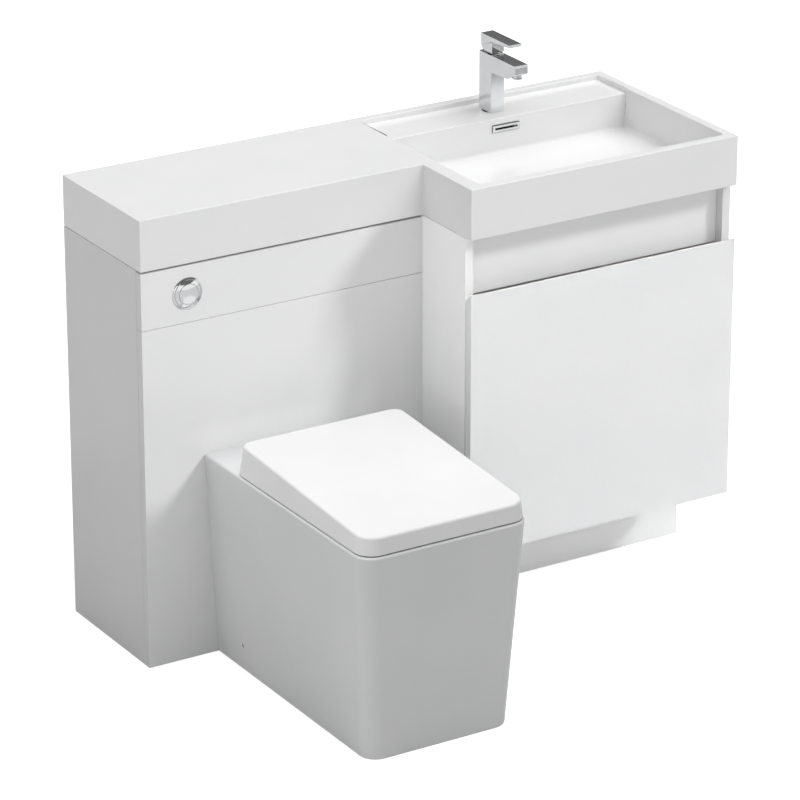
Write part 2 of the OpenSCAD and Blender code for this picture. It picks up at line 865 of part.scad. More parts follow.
// The bowl is a wide rim opening that narrows to a round sump; grow widens it for its outer wall
module bowl_form(grow, rim_z) {
    mid_w = 190;
    mid_l = 235;
    mid_y = -335;
    mid_z = 300;
    hull() {
        oval_slab(opening_w + 10 + 2 * grow, opening_l + 30 + 2 * grow, opening_y, opening_r + grow, rim_z);
        oval_slab(mid_w + 2 * grow, mid_l + 2 * grow, mid_y, 90 + grow, mid_z - grow);
    }
    hull() {
        oval_slab(mid_w + 2 * grow, mid_l + 2 * grow, mid_y, 90 + grow, mid_z - grow);
        translate([0, sump_y, bend_z + 35 - grow]) cylinder(r = trapway_bore + grow, h = eps, $fn = 32);
    }
}

module trapway(r) {
    rod_z([0, sump_y, bend_z], r, 40);
    bend_x([0, sump_y + u_bend_r, bend_z], u_bend_r, r, 180, 180);
    rod_z([0, elbow_y - elbow_r, bend_z], r, elbow_z - bend_z);
    bend_x([0, elbow_y, elbow_z], elbow_r, r, 90, 90);
}

module pan() {
    skirt_w = pan_floor_w - 2 * ceramic;
    top_w = pan_w - 2 * ceramic;
    edge = rim_edge / 2;
    color("white") in_pan() difference() {
        union() {
            difference() {
                hull() {
                    pan_slab(pan_floor_w, pan_floor_l, pan_corner_r - 4, 0);
                    pan_slab(pan_w, pan_l, pan_corner_r, pan_h - rim_edge);
                    pan_slab(pan_w - edge, pan_l - edge / 2, pan_corner_r - 1, pan_h - edge);
                    pan_slab(pan_w - 3 * edge, pan_l - 1.5 * edge, pan_corner_r - 3, pan_h - eps);
                }
                hull() {
                    pan_slab(skirt_w, pan_floor_l - ceramic, pan_corner_r - ceramic, -1, eps, 1);
                    pan_slab(top_w, pan_l - ceramic, pan_corner_r - ceramic, pan_h - pan_rim_t, eps, 1);
                }
            }
            bowl_form(ceramic - 2, pan_h - ceramic);
            trapway(trapway_r);
            rod_y([0, elbow_y, outlet_z], trapway_r, 30);
            rod_y([0, elbow_y + 20, outlet_z], spigot_r, pan_outlet_l - elbow_y - 20);
            rod_y([0, opening_y + 110, inlet_z], inlet_r + ceramic - 3, -opening_y - 110);
        }
        bowl_form(0, pan_h + 1);
        trapway(trapway_bore);
        rod_y([0, elbow_y, outlet_z], trapway_bore, 40);
        rod_y([0, elbow_y + 30, outlet_z], spigot_r - spigot_wall, pan_outlet_l - elbow_y);
        rod_y([0, opening_y + 100, inlet_z], inlet_r - 9, -opening_y - 100);
        rod_y([0, -70, inlet_z], inlet_r, 80);
        rod_x([-pan_w, bracket_y, bracket_z], bracket_hole_r, 2 * pan_w);
        for (x = [-1, 1] * hinge_span / 2)
            rod_z([x, hinge_y, pan_h - pan_rim_t - 1], stud_r + 1, pan_rim_t + 2);
    }
}

// Half the pan's outside width at the screws' height, and half the distance between the brackets' faces
screw_end_x = pan_floor_w / 2 + (pan_w - pan_floor_w) / 2 * bracket_z / pan_h;
bracket_x = pan_floor_w / 2 - ceramic - 0.3;

module pan_brackets() {
    arm = 34;
    thick = 8;
    color(plastic) in_pan() both_sides() translate([bracket_x, bracket_y, 0]) difference() {
        union() {
            slab([-thick, -arm / 2, 0], [0, arm / 2, bracket_z + 14]);
            slab([-arm, -arm / 2, 0], [0, arm / 2, thick]);
        }
        rod_x([-thick - 1, 0, bracket_z], 2.6, thick + 2);
        rod_z([-arm / 2 - 4, 0, -1], 3.5, thick + 2);
    }
}

// Screws from outside through the pan's sides into the brackets, with their heads sunk in the holes
module pan_screws() {
    head_x = screw_end_x - 4;
    color(steel) in_pan() both_sides() {
        rod_x([bracket_x - 14, bracket_y, bracket_z], 2.55, head_x - bracket_x + 14);
        rod_x([head_x - 4, bracket_y, bracket_z], bracket_hole_r - 0.1, 4);
    }
}

// Fixed posts with their hinge pins and the studs through the deck
module hinge_posts() {
    pin_l = post_w + 2 * (knuckle_w + knuckle_gap);
    color(chrome) in_pan() both_sides() translate([hinge_span / 2, hinge_y, 0]) {
        rod_z([0, 0, pan_h], post_w / 2, 4);
        rod_z([0, 0, pan_h], post_r, hinge_h);
        rod_x([-post_w / 2, 0, hinge_z], barrel_r, post_w);
        rod_x([-pin_l / 2, 0, hinge_z], hinge_pin_r, pin_l);
        rod_z([0, 0, pan_h - pan_rim_t - 22], stud_r, pan_rim_t + 22);
    }
}

module seat_nuts() {
    color(plastic) in_pan() for (x = [-1, 1] * hinge_span / 2)
        translate([x, hinge_y, pan_h - pan_rim_t - 12]) difference() {
            cylinder(r = 16, h = 12);
            translate([0, 0, -1]) cylinder(r = stud_r + pin_fit, h = 14);
        }
}

// Knuckle on a hinge pin: barrel and arm profile, from x0 outwards
module knuckle(x0, arm) {
    difference() {
        union() {
            rod_x([x0, hinge_y, hinge_z], barrel_r, knuckle_w);
            profile_x(arm, x0, knuckle_w);
        }
        rod_x([x0 - 1, hinge_y, hinge_z], hinge_pin_r + pin_fit, knuckle_w + 2);
    }
}

ring_back = hinge_y - 20;
seat_arm = [[ring_back - 4, seat_z], [ring_back - 4, seat_z + seat_t], [hinge_y - 6.3, hinge_z + 6.3],
    [hinge_y + 6.3, hinge_z - 6.3], [hinge_y - 4, seat_z]];
seat_w = lid_w - 2 * lid_wall - 2 * seat_inset - 4;

module seat_ring() {
    seat_front = lid_front - lid_wall - seat_inset;
    edge = 3;
    color(white) in_pan() {
        difference() {
            hull() {
                translate([0, 0, seat_z]) linear_extrude(seat_t - edge)
                    polygon(tray(seat_w, ring_back, -seat_front, 20, 28));
                translate([0, 0, seat_z]) linear_extrude(seat_t)
                    polygon(tray(seat_w - 2 * edge, ring_back - edge, -seat_front + edge, 17, 25));
            }
            hull() {
                oval_slab(opening_w, opening_l, opening_y, opening_r, seat_z - eps);
                oval_slab(opening_w + 8, opening_l + 8, opening_y, opening_r + 4, seat_z + seat_t);
            }
        }
        both_sides() knuckle(hinge_span / 2 + post_w / 2 + knuckle_gap, seat_arm);
        both_sides() for (y = [hinge_y - 60, -seat_front + 70])
            translate([seat_w / 2 - 22, y, pan_h + 0.1]) cylinder(r = 9, h = buffer_h);
    }
}

module lid_outline(w, back, front, inset) {
    polygon(tray(w - 2 * inset, back - inset, front + inset, lid_back_r - inset, pan_corner_r - inset));
}

// Lid: a wedge-shaped shell that drops over the seat ring, open round the hinge posts
module lid_form(inset, drop) {
    draft = 6;
    draft_back = 13;
    edge = 3;
    slope = atan((lid_back_h - lid_front_h) / (lid_front - lid_back));
    top_l = lid_front - lid_back - draft_back - draft / 2;
    hull() {
        translate([0, 0, lid_z - drop]) linear_extrude(eps)
            lid_outline(lid_w, -lid_back, -lid_front, inset);
        for (step = [[0, edge], [edge, 0]])
            translate([0, -lid_back - draft_back, pan_h + lid_back_h]) rotate([slope, 0, 0])
                translate([0, 0, -eps - drop - step[1]]) linear_extrude(eps)
                    lid_outline(lid_w - draft, 0, -top_l, inset + step[0]);
    }
}

module lid() {
    rib_top = pan_h + lid_back_h - lid_wall;
    swing_r = hinge_h - 0.7;
    rib_x = hinge_span / 2 - post_w / 2 - knuckle_gap - knuckle_w;
    rib = [[hinge_y - 9, hinge_z], [hinge_y - 9, rib_top], [hinge_y + 9, rib_top], [hinge_y + 9, hinge_z]];
    notch_x = hinge_span / 2 - post_w / 2 - knuckle_gap / 2;
    notch_w = post_w + knuckle_w + 2.5 * knuckle_gap;
    color(white) in_pan() difference() {
        union() {
            difference() {
                lid_form(0, 0);
                lid_form(lid_wall, lid_wall);
            }
            both_sides() knuckle(rib_x, rib);
            // buffers that come down on the seat ring
            intersection() {
                lid_form(lid_wall / 2, lid_wall / 2);
                both_sides() for (y = [hinge_y - 60, -lid_front + 80])
                    rod_z([lid_w / 2 - 32, y, seat_z + seat_t + 0.2], 7, lid_back_h);
            }
        }
        // heel rounded about the hinge axis, so that it clears the deck as it swings
        difference() {
            slab([-lid_w, hinge_y, lid_z - 1], [lid_w, hinge_y + hinge_in + 1, hinge_z]);
            rod_x([-lid_w - 1, hinge_y, hinge_z], swing_r, 2 * lid_w + 2);
        }
        both_sides() slab([notch_x, hinge_y + barrel_r / 3, lid_z - 1],
            [notch_x + notch_w, hinge_y + hinge_in + 1, hinge_z + 14]);
        // the back wall ends above the seat ring, so that it can swing past the ring's back edge
        slab([-seat_w / 2 + 2, hinge_y + barrel_r + 0.5, lid_z - 1],
            [seat_w / 2 - 2, hinge_y + hinge_in + 1, hinge_z - 12]);
    }
}

// ---- Cistern ----

module cistern_tank() {
    a = [wc_mid - cistern_w / 2, cistern_y - cistern_d / 2, cistern_z];
    b = [wc_mid + cistern_w / 2, cistern_y + cistern_d / 2, cistern_z + cistern_h];
    color(plastic) in_unit() difference() {
        round_box(a, b, cistern_wall);
        slab(a + [1, 1, 1] * cistern_wall, b - [1, 1, -1] * cistern_wall);
        rod_z([wc_mid, cistern_y, cistern_z - 1], flush_pipe_r, cistern_wall + 2);
        rod_z([fill_x, cistern_y, cistern_z - 1], tail_r + 0.1, cistern_wall + 2);
    }
}

module cistern_lid() {
    z = cistern_z + cistern_h;
    half = [cistern_w / 2 + 3, cistern_d / 2 + 3, 0];
    inner = half - [cistern_wall, cistern_wall, 0] * 2;
    color(plastic) in_unit() translate([wc_mid, cistern_y, z]) {
        round_box(-half, half + [0, 0, cistern_lid_h], cistern_wall + 3);
        slab(-inner - [0, 0, 8], inner);
    }
}

// Flush valve: seat over the outlet, slotted cage and guide tube for the core
module flush_valve() {
    z0 = cistern_z + cistern_wall;
    color("white") in_unit() translate([wc_mid, cistern_y, 0]) difference() {
        union() {
            rod_z([0, 0, z0], 36, 8);
            rod_z([0, 0, z0], valve_r, cistern_h - 100);
        }
        rod_z([0, 0, z0 - 1], core_r + 0.4, cistern_h - 98);
        for (a = [0, 60, 120]) rotate([0, 0, a])
            slab([-5, -valve_r - 1, z0 + 12], [5, valve_r + 1, z0 + 42]);
    }
}

module flush_valve_core() {
    z0 = cistern_z + cistern_wall;
    color("steelblue") in_unit() translate([wc_mid, cistern_y, z0 + 0.3]) difference() {
        cylinder(r = core_r, h = cistern_h - 50);
        translate([0, 0, -1]) cylinder(r = core_r - 3, h = cistern_h - 48);
    }
}

module fill_valve() {
    tail = 35;
    color("white") in_unit() translate([fill_x, cistern_y, 0]) {
        rod_z([0, 0, cistern_z - tail], tail_r, tail + cistern_wall);
        rod_z([0, 0, cistern_z], column_r, cistern_h - 40);
        rod_z([0, 0, cistern_z - 10], column_r + 8, 10);
        rod_z([0, 0, cistern_z + cistern_wall], column_r + 8, 6);
        rod_z([0, 0, cistern_z + cistern_h - 60], column_r + 10, 40);
    }
}

module fill_float() {
    z0 = cistern_z + cistern_wall + 6.3;
    color("steelblue") in_unit() translate([fill_x, cistern_y, z0 + 20]) difference() {
        cylinder(r = 28, h = 60);
        translate([0, 0, -1]) cylinder(r = column_r + 0.3, h = 62);
    }
}

module flush_pipe() {
    reach = 45;
    bend_y = cistern_y - flush_bend_r;
    bend_pipe_z = inlet_z + flush_bend_r;
    drop = cistern_z - bend_pipe_z;
    color("white") in_unit() difference() {
        union() {
            rod_z([wc_mid, cistern_y, bend_pipe_z], flush_pipe_r, drop);
            rod_z([wc_mid, cistern_y, cistern_z - 15], flush_pipe_r + 10, 15);
            bend_x([wc_mid, bend_y, bend_pipe_z], flush_bend_r, flush_pipe_r, 270, 90);
            rod_y([wc_mid, -wc_d - reach, inlet_z], flush_pipe_r, bend_y + wc_d + reach);
            rod_y([wc_mid, -wc_d - reach + 5, inlet_z], inlet_r - 0.1, reach - 5);
        }
        rod_z([wc_mid, cistern_y, bend_pipe_z], flush_pipe_r - flush_wall, drop + 1);
        bend_x([wc_mid, bend_y, bend_pipe_z], flush_bend_r, flush_pipe_r - flush_wall, 270, 90);
        rod_y([wc_mid, -wc_d - reach - 1, inlet_z], flush_pipe_r - flush_wall, bend_y + wc_d + reach + 1);
    }
}

module soil_connector() {
    collar_y = -wc_d + pan_outlet_l - 50;
    color(plastic) in_unit() difference() {
        union() {
            rod_y([wc_mid, collar_y, outlet_z], soil_r + 3, 54);
            rod_y([wc_mid, collar_y + 50, outlet_z], soil_r, -collar_y - 50);
        }
        rod_y([wc_mid, collar_y - 1, outlet_z], spigot_r + 0.1, 52);
        rod_y([wc_mid, collar_y + 50, outlet_z], soil_r - 3.5, -collar_y - 49);
    }
}

// ---- Flush button ----

// Chrome ring, threaded barrel and the nut behind the board, which never part in use
module button_housing() {
    step = button_travel + 2.5;
    color(chrome) in_unit() translate([button_x, -wc_d, button_z]) difference() {
        union() {
            dome_ring(0, bezel_r, 0);
            rod_y([0, 0, 0], housing_r, housing_l);
            rod_y([0, board, 0], housing_r + 6, 8);
            for (x = [-10, 10]) rod_y([x, housing_l - 1, 0], 3, 13);
        }
        rod_y([0, -dome(0) - 1, 0], button_r + ring_step, dome(0) + step + 1);
        rod_y([0, 0, 0], housing_r - 3, housing_l - 3);
    }
}

// The ring and both buttons share one low dome; this is its height over the board at a radius
function dome(r) = 1 + dome_h * (1 - (r / bezel_r) * (r / bezel_r));

// Part of the dome between two radii, down to a flat base
module dome_ring(r0, r1, base) {
    n = 8;
    rotate([-90, 0, 0]) rotate_extrude($fn = fine) polygon(concat([[r0, base]],
        [for (i = [0:n]) let (r = r0 + (r1 - r0) * i / n) [r, -dome(r)]], [[r1, base]]));
}

module flush_button_full() {
    skirt_r = housing_r - 3 - ring_step;
    color(chrome) in_unit() translate([button_x, -wc_d, button_z]) {
        dome_ring(half_r + ring_step, button_r, 1);
        difference() {
            rod_y([0, 0, 0], skirt_r, 23);
            rod_y([0, -1, 0], half_r + ring_step, 25);
        }
    }
}

module flush_button_half() {
    color(chrome) in_unit() translate([button_x, -wc_d, button_z]) {
        dome_ring(0, half_r, 1);
        rod_y([0, 0, 0], half_r - 1, 21);
    }
}

wc_side_left();
wc_side_right();
wc_front_lower();
wc_front_upper();
wc_back_rails();
panel_blocks();
access_clips();
vanity_side_left();
vanity_side_right();
vanity_base();
vanity_back_rails();
grip_panel();
plinth_front();
plinth_end();
adjustable_feet();
plinth_clips();
joining_screws();
basin_top();
overflow_trim();
overflow_duct();
waste_body();
waste_bridge();
waste_nut();
waste_plug();
trap_body();
trap_nuts();
trap_outlet();
tap_body();
tap_seal();
tap_aerator();
tap_fixing();
tap_clamp();
tap_nut();
tap_cartridge();
tap_spindle();
tap_lever();
drawer_front();
drawer_sides();
drawer_back();
drawer_base();
runner_outer();
runner_middle();
runner_inner();
pan();
pan_brackets();
pan_screws();
hinge_posts();
seat_nuts();
seat_ring();
lid();
cistern_tank();
cistern_lid();
flush_valve();
flush_valve_core();
fill_valve();
fill_float();
flush_pipe();
soil_connector();
button_housing();
flush_button_full();
flush_button_half();
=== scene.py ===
# %% [markdown]
# # A toilet and basin combination unit
# The unit is gloss white furniture: a slim cabinet that hides the cistern, with a square pan in front of it, and a
# deeper cabinet with a drawer under the basin. One cast top joins the two. The solid model gives every size here.
# We load it as a fixed frame, and then give each piece its real edges and its finish.

import json
from math import cos, pi, radians, sin

import bmesh
import bpy
from mathutils import Matrix, Vector


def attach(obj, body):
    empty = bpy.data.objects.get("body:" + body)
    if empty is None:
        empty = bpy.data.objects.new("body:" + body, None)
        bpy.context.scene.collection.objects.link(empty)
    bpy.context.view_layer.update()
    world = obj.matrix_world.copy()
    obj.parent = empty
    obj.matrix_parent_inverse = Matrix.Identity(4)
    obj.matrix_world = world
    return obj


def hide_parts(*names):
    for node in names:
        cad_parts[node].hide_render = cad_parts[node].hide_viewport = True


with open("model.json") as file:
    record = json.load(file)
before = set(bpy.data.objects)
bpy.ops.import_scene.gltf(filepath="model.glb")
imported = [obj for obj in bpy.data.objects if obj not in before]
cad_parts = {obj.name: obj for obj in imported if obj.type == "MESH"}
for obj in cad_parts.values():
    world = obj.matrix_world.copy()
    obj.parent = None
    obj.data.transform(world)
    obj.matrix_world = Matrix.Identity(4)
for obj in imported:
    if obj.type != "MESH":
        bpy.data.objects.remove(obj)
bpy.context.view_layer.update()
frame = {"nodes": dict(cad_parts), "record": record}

# %% [markdown]
# ## Places
# A joiner measures this unit in millimetres from its left end and from the wall. Blender works in metres round the
# middle of the whole object. One small function turns the first into the second, so that each later cell can name
# places in the way that a drawing of the furniture does. Some places come back often. The waste, the tap, its aerator
# and the pan's bowl have an x and a y, the seat's hinge line has a y and a z, and two posts carry it. The flush button
# has an x and a height, and the soil outlet and the flush pipe each have a height.

# %% From the joiner's millimetres to the frame
UNIT_WIDTH, UNIT_DEPTH = 1200, 876
WASTE, TAP, AERATOR, BOWL = (900, -325), (900, -68), (900, -159), (300, -643)
HINGE, POSTS = (-433, 440), (222.5, 377.5)
BUTTON_X, BUTTON_Z, SOIL_Z, FLUSH_Z = 96, 732.8, 185, 345


def at(x, y, z):
    return Vector(((x - UNIT_WIDTH / 2) / 1000, (y + UNIT_DEPTH / 2) / 1000, z / 1000))


def mm(length):
    return length / 1000


print("front of the pan:", at(300, -876, 0))

# %% [markdown]
# ## Camera
# The photograph is taken from the front left and from above, with a long lens, so upright edges stay upright.
# The place, the turn and the lens come from matching the straight edges of the furniture, without any lens shift.

# %% Camera
camera_data = bpy.data.cameras.new("camera")
camera_data.sensor_width = 36
camera_data.lens = 198.54
camera_data.clip_end = 50
camera = bpy.data.objects.new("camera", camera_data)
bpy.context.scene.collection.objects.link(camera)
camera.location = (-4.0994, -6.4815, 3.5814)
LOOKS_DOWN, LOOKS_RIGHT = 22.126, 31.458
camera.rotation_euler = (radians(90 - LOOKS_DOWN), 0, -radians(LOOKS_RIGHT))
bpy.context.scene.camera = camera
print("camera", tuple(round(v, 3) for v in camera.location))

# %% [markdown]
# ## Tools for shaping by hand
# Each new piece starts as a box or a rod at its real place. Then faces and edges are selected by where they are,
# and one edit-mode tool works on them. These helpers do the selecting, and apply the modifiers that finish a piece.

# %% Selecting and starting shapes


def fresh():
    bpy.ops.object.select_all(action="DESELECT")


def only(piece):
    fresh()
    piece.select_set(True)
    bpy.context.view_layer.objects.active = piece


def block(name, low, high):
    fresh()
    low, high = at(*low), at(*high)
    bpy.ops.mesh.primitive_cube_add(size=1, location=(low + high) / 2)
    piece = bpy.context.object
    piece.scale = high - low
    bpy.ops.object.transform_apply(location=True, rotation=False, scale=True)
    piece.name = piece.data.name = name
    return piece


def rod(name, start, radius, length, axis="Z", sides=64):
    fresh()
    turn = {"X": (0, pi / 2, 0), "Y": (-pi / 2, 0, 0), "Z": (0, 0, 0)}[axis]
    step = {"X": (1, 0, 0), "Y": (0, 1, 0), "Z": (0, 0, 1)}[axis]
    centre = at(*start) + Vector(step) * mm(length) / 2
    bpy.ops.mesh.primitive_cylinder_add(
        vertices=sides, radius=mm(radius), depth=mm(length), location=centre, rotation=turn)
    piece = bpy.context.object
    bpy.ops.object.transform_apply(location=True, rotation=True, scale=True)
    piece.name = piece.data.name = name
    return piece


def work(piece, kind, wanted, tool, **settings):
    only(piece)
    bpy.ops.object.mode_set(mode="EDIT")
    bpy.ops.mesh.select_mode(type=kind)
    bpy.ops.mesh.select_all(action="DESELECT")
    mesh = bmesh.from_edit_mesh(piece.data)
    found = [part for part in (mesh.faces if kind == "FACE" else mesh.edges) if wanted(part)]
    for part in found:
        part.select_set(True)
    bmesh.update_edit_mesh(piece.data)
    if found:
        tool(**settings)
    bpy.ops.object.mode_set(mode="OBJECT")


def bevel(piece, wanted, width, segments, **settings):
    work(piece, "EDGE", wanted, bpy.ops.mesh.bevel, offset=mm(width), segments=segments, affect="EDGES", **settings)


def middle(part):
    """The middle of an edge or a face, in the joiner's millimetres."""
    centre = sum((corner.co for corner in part.verts), Vector((0, 0, 0))) / len(part.verts)
    return centre * 1000 + Vector((UNIT_WIDTH, -UNIT_DEPTH, 0)) / 2


def along(edge):
    return (edge.verts[1].co - edge.verts[0].co).normalized()


def upright(edge):
    return abs(along(edge).z) > 0.9


def runs_back(edge):
    return abs(along(edge).y) > 0.9


def faces_up(face):
    return face.normal.z > 0.9


def borders_top(edge):
    tilts = sorted(face.normal.z for face in edge.link_faces)
    return len(tilts) == 2 and tilts[1] > 0.9 > tilts[0]


def everything(part):
    return True


def slice_off(piece, point, normal):
    """Saws along a plane and throws away the side that the normal points to."""
    work(piece, "FACE", everything, bpy.ops.mesh.bisect,
         plane_co=at(*point), plane_no=normal, use_fill=True, clear_outer=True)


# %% [markdown]
# Round pieces are turned like clay on a wheel. A circle is extruded ring after ring, and each ring is scaled to its
# own radius. A profile that ends on the axis closes in a pole, and one that runs back to its start makes a tube.

# %% Turning round pieces
POLE = 0.005
UPWARD, OUTWARD, BACKWARD, SIDEWAYS = (0, 0, 0), (pi / 2, 0, 0), (-pi / 2, 0, 0), (0, pi / 2, 0)


def turned(name, start, rings, lean=UPWARD, sides=64, closed=False):
    fresh()
    rings = [(max(radius, POLE), height) for radius, height in rings]
    bpy.ops.mesh.primitive_circle_add(
        vertices=sides, radius=mm(rings[0][0]), location=(0, 0, mm(rings[0][1])))
    piece = bpy.context.object
    bpy.ops.object.transform_apply(location=True, rotation=False, scale=False)
    bpy.ops.object.mode_set(mode="EDIT")
    bpy.ops.mesh.select_mode(type="VERT")
    bpy.ops.mesh.select_all(action="SELECT")
    following = rings[1:] + (rings[:1] if closed else [])
    for (radius, height), (next_radius, next_height) in zip(rings, following):
        bpy.ops.mesh.extrude_region_move(TRANSFORM_OT_translate={"value": (0, 0, mm(next_height - height))})
        share = next_radius / radius
        bpy.ops.transform.resize(value=(share, share, 1), center_override=(0, 0, mm(next_height)))
    bpy.ops.mesh.select_all(action="SELECT")
    bpy.ops.mesh.remove_doubles(threshold=mm(0.02))
    bpy.ops.mesh.normals_make_consistent(inside=False)
    bpy.ops.object.mode_set(mode="OBJECT")
    piece.rotation_euler = lean
    piece.location = at(*start)
    bpy.ops.object.transform_apply(location=True, rotation=True, scale=False)
    piece.name = piece.data.name = name
    return piece


def circle(count, radius):
    turns = [2 * pi * step / count for step in range(count)]
    return [(radius * cos(turn), radius * sin(turn)) for turn in turns]


def swing(piece, x, y, turn):
    """Turns a piece about the upright line through x, y."""
    axis = at(x, y, 0)
    piece.data.transform(Matrix.Translation(axis) @ Matrix.Rotation(turn, 4, "Z") @ Matrix.Translation(-axis))


# %% [markdown]
# Sharp computer edges look false, because a real edge always catches a thin line of light. So every piece is eased
# with the Bevel modifier, at the radius its material has: 0.8 mm on lacquered board, 1.6 mm on cast resin.

# %% Cutting, joining and easing


def apply(piece, modifier):
    only(piece)
    bpy.ops.object.modifier_apply(modifier=modifier.name)


def combine(piece, tool, how="DIFFERENCE"):
    boolean = piece.modifiers.new("boolean", "BOOLEAN")
    boolean.operation = how
    boolean.object = tool
    boolean.solver = "EXACT"
    apply(piece, boolean)
    bpy.data.objects.remove(tool)


def joined(pieces):
    first, *others = pieces
    for other in others:
        combine(first, other, "UNION")
    return first


def ease(piece, radius, segments=3, angle=35):
    eased = piece.modifiers.new("eased edges", "BEVEL")
    eased.width = mm(radius)
    eased.segments = segments
    eased.limit_method = "ANGLE"
    eased.angle_limit = radians(angle)
    eased.use_clamp_overlap = False
    apply(piece, eased)
    smooth(piece)


ROUND_EDGES = 40


def smooth(piece, angle=32):
    only(piece)
    bpy.ops.object.shade_smooth_by_angle(angle=radians(angle))
    weighted = piece.modifiers.new("flat faces stay flat", "WEIGHTED_NORMAL")
    weighted.keep_sharp = True
    apply(piece, weighted)


def dress(piece, body, slot, node):
    piece.data.materials.clear()
    piece.data.materials.append(FINISHES[slot])
    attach(piece, body)
    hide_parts(node)
    print(piece.name, "has", len(piece.data.polygons), "faces")
    return piece


def eased_copy(name, node, radius):
    """A copy of a node's triangles, merged and tidied into flat faces, with its edges eased."""
    piece = bpy.data.objects.new(name, frame["nodes"][node].data.copy())
    bpy.context.scene.collection.objects.link(piece)
    only(piece)
    bpy.ops.object.mode_set(mode="EDIT")
    bpy.ops.mesh.select_all(action="SELECT")
    bpy.ops.mesh.remove_doubles(threshold=mm(0.01))
    bpy.ops.mesh.dissolve_limited(angle_limit=radians(0.4))
    bpy.ops.object.mode_set(mode="OBJECT")
    ease(piece, radius, 2)
    return piece


def coat(piece, finish, wanted):
    """Puts a second finish on some faces, such as a board's raw edges."""
    piece.data.materials.append(finish)
    piece.active_material_index = len(piece.data.materials) - 1
    work(piece, "FACE", wanted, bpy.ops.object.material_slot_assign)


# %% [markdown]
# ## Finishes
# None of these surfaces is one flat colour. Spray lacquer has a faint orange-peel skin, a glaze pools and waves, and
# polished metal has hair-fine scratches. Each finish below is a Principled shader whose colour, roughness and bump
# come from noise in Object coordinates, at the scale that the real surface has. A grain is the noise's scale, then
# where it's needed its detail and its stretch.

# %% A small kit for finishes


def new_node(tree, kind, **sockets):
    node = tree.nodes.new("ShaderNode" + kind)
    for socket, value in sockets.items():
        node.inputs[socket].default_value = value
    return node


def new_finish(name, colour, roughness, metallic=0.0):
    finish = bpy.data.materials.new(name)
    finish.use_nodes = True
    surface = finish.node_tree.nodes["Principled BSDF"]
    surface.inputs["Base Color"].default_value = (*colour, 1)
    surface.inputs["Roughness"].default_value = roughness
    surface.inputs["Metallic"].default_value = metallic
    return finish


def noise(tree, scale, detail=3.0, stretch=(1, 1, 1)):
    turn = new_node(tree, "Mapping", Scale=stretch)
    pattern = new_node(tree, "TexNoise", Scale=scale, Detail=detail)
    tree.links.new(new_node(tree, "TexCoord").outputs["Object"], turn.inputs["Vector"])
    tree.links.new(turn.outputs["Vector"], pattern.inputs["Vector"])
    return pattern.outputs["Fac"]


def tint(finish, grain, dark, light, low=0.35, high=0.65):
    tree = finish.node_tree
    ramp = new_node(tree, "ValToRGB")
    for stop, position, colour in zip(ramp.color_ramp.elements, (low, high), (dark, light)):
        stop.position, stop.color = position, (*colour, 1)
    tree.links.new(noise(tree, *grain), ramp.inputs["Fac"])
    tree.links.new(ramp.outputs["Color"], tree.nodes["Principled BSDF"].inputs["Base Color"])


def sheen_range(finish, grain, low, high):
    tree = finish.node_tree
    span = new_node(tree, "MapRange", **{"From Min": 0.3, "From Max": 0.7, "To Min": low, "To Max": high})
    tree.links.new(noise(tree, *grain), span.inputs["Value"])
    tree.links.new(span.outputs["Result"], tree.nodes["Principled BSDF"].inputs["Roughness"])


def skin(finish, grain, height, strength=0.3):
    tree = finish.node_tree
    bump = new_node(tree, "Bump", Strength=strength, Distance=mm(height))
    tree.links.new(noise(tree, *grain), bump.inputs["Height"])
    tree.links.new(bump.outputs["Normal"], tree.nodes["Principled BSDF"].inputs["Normal"])


# %% [markdown]
# The furniture boards are sprayed with gloss lacquer: nearly a mirror, with a fine ripple about four millimetres
# across. The boards inside are melamine, which is dull and faintly flecked.

# %% Lacquer and melamine
lacquer = new_finish("white_lacquer", (0.87, 0.87, 0.87), 0.09)
tint(lacquer, (5,), (0.86, 0.863, 0.865), (0.88, 0.88, 0.878))
sheen_range(lacquer, (14,), 0.07, 0.12)
skin(lacquer, (240, 1), 0.02, 0.25)

melamine = new_finish("melamine", (0.7, 0.69, 0.67), 0.5)
tint(melamine, (420, 2), (0.66, 0.655, 0.64), (0.74, 0.735, 0.72))
sheen_range(melamine, (60,), 0.42, 0.58)
skin(melamine, (900, 1), 0.03, 0.4)
chipboard = new_finish("raw_chipboard", (0.42, 0.3, 0.18), 0.85)
tint(chipboard, (330, 5, (1, 1, 2)), (0.26, 0.17, 0.09), (0.6, 0.46, 0.3), 0.38, 0.62)
skin(chipboard, (600, 4), 0.15, 0.6)
print("boards:", lacquer.name, melamine.name, chipboard.name)

# %% [markdown]
# The top is a mineral casting with a gel coat, the pan is glazed ceramic, and the seat is moulded thermoset. All are
# white, but the gel coat is the softest, the glaze is the deepest and slightly cooler, with its colour painted a
# little darker as painted shade on the pan, and the seat is the cleanest.

# %% Gel coat, glaze and thermoset
gel_coat = new_finish("gel_coat", (0.88, 0.88, 0.88), 0.16)
tint(gel_coat, (7,), (0.87, 0.872, 0.873), (0.885, 0.885, 0.883))
sheen_range(gel_coat, (18,), 0.13, 0.2)
skin(gel_coat, (120, 2), 0.02, 0.2)

# The glaze's colour is painted darker than the other whites: painted shade for the pan.
glaze = new_finish("glaze", (0.78, 0.785, 0.79), 0.06)
tint(glaze, (6,), (0.765, 0.772, 0.778), (0.795, 0.798, 0.8))
sheen_range(glaze, (22,), 0.05, 0.09)
skin(glaze, (45, 1), 0.05, 0.2)

thermoset = new_finish("thermoset", (0.88, 0.88, 0.88), 0.12)
tint(thermoset, (8,), (0.87, 0.87, 0.872), (0.89, 0.89, 0.888))
sheen_range(thermoset, (25,), 0.09, 0.15)
skin(thermoset, (300, 1), 0.01, 0.2)
print("whites:", gel_coat.name, glaze.name, thermoset.name)

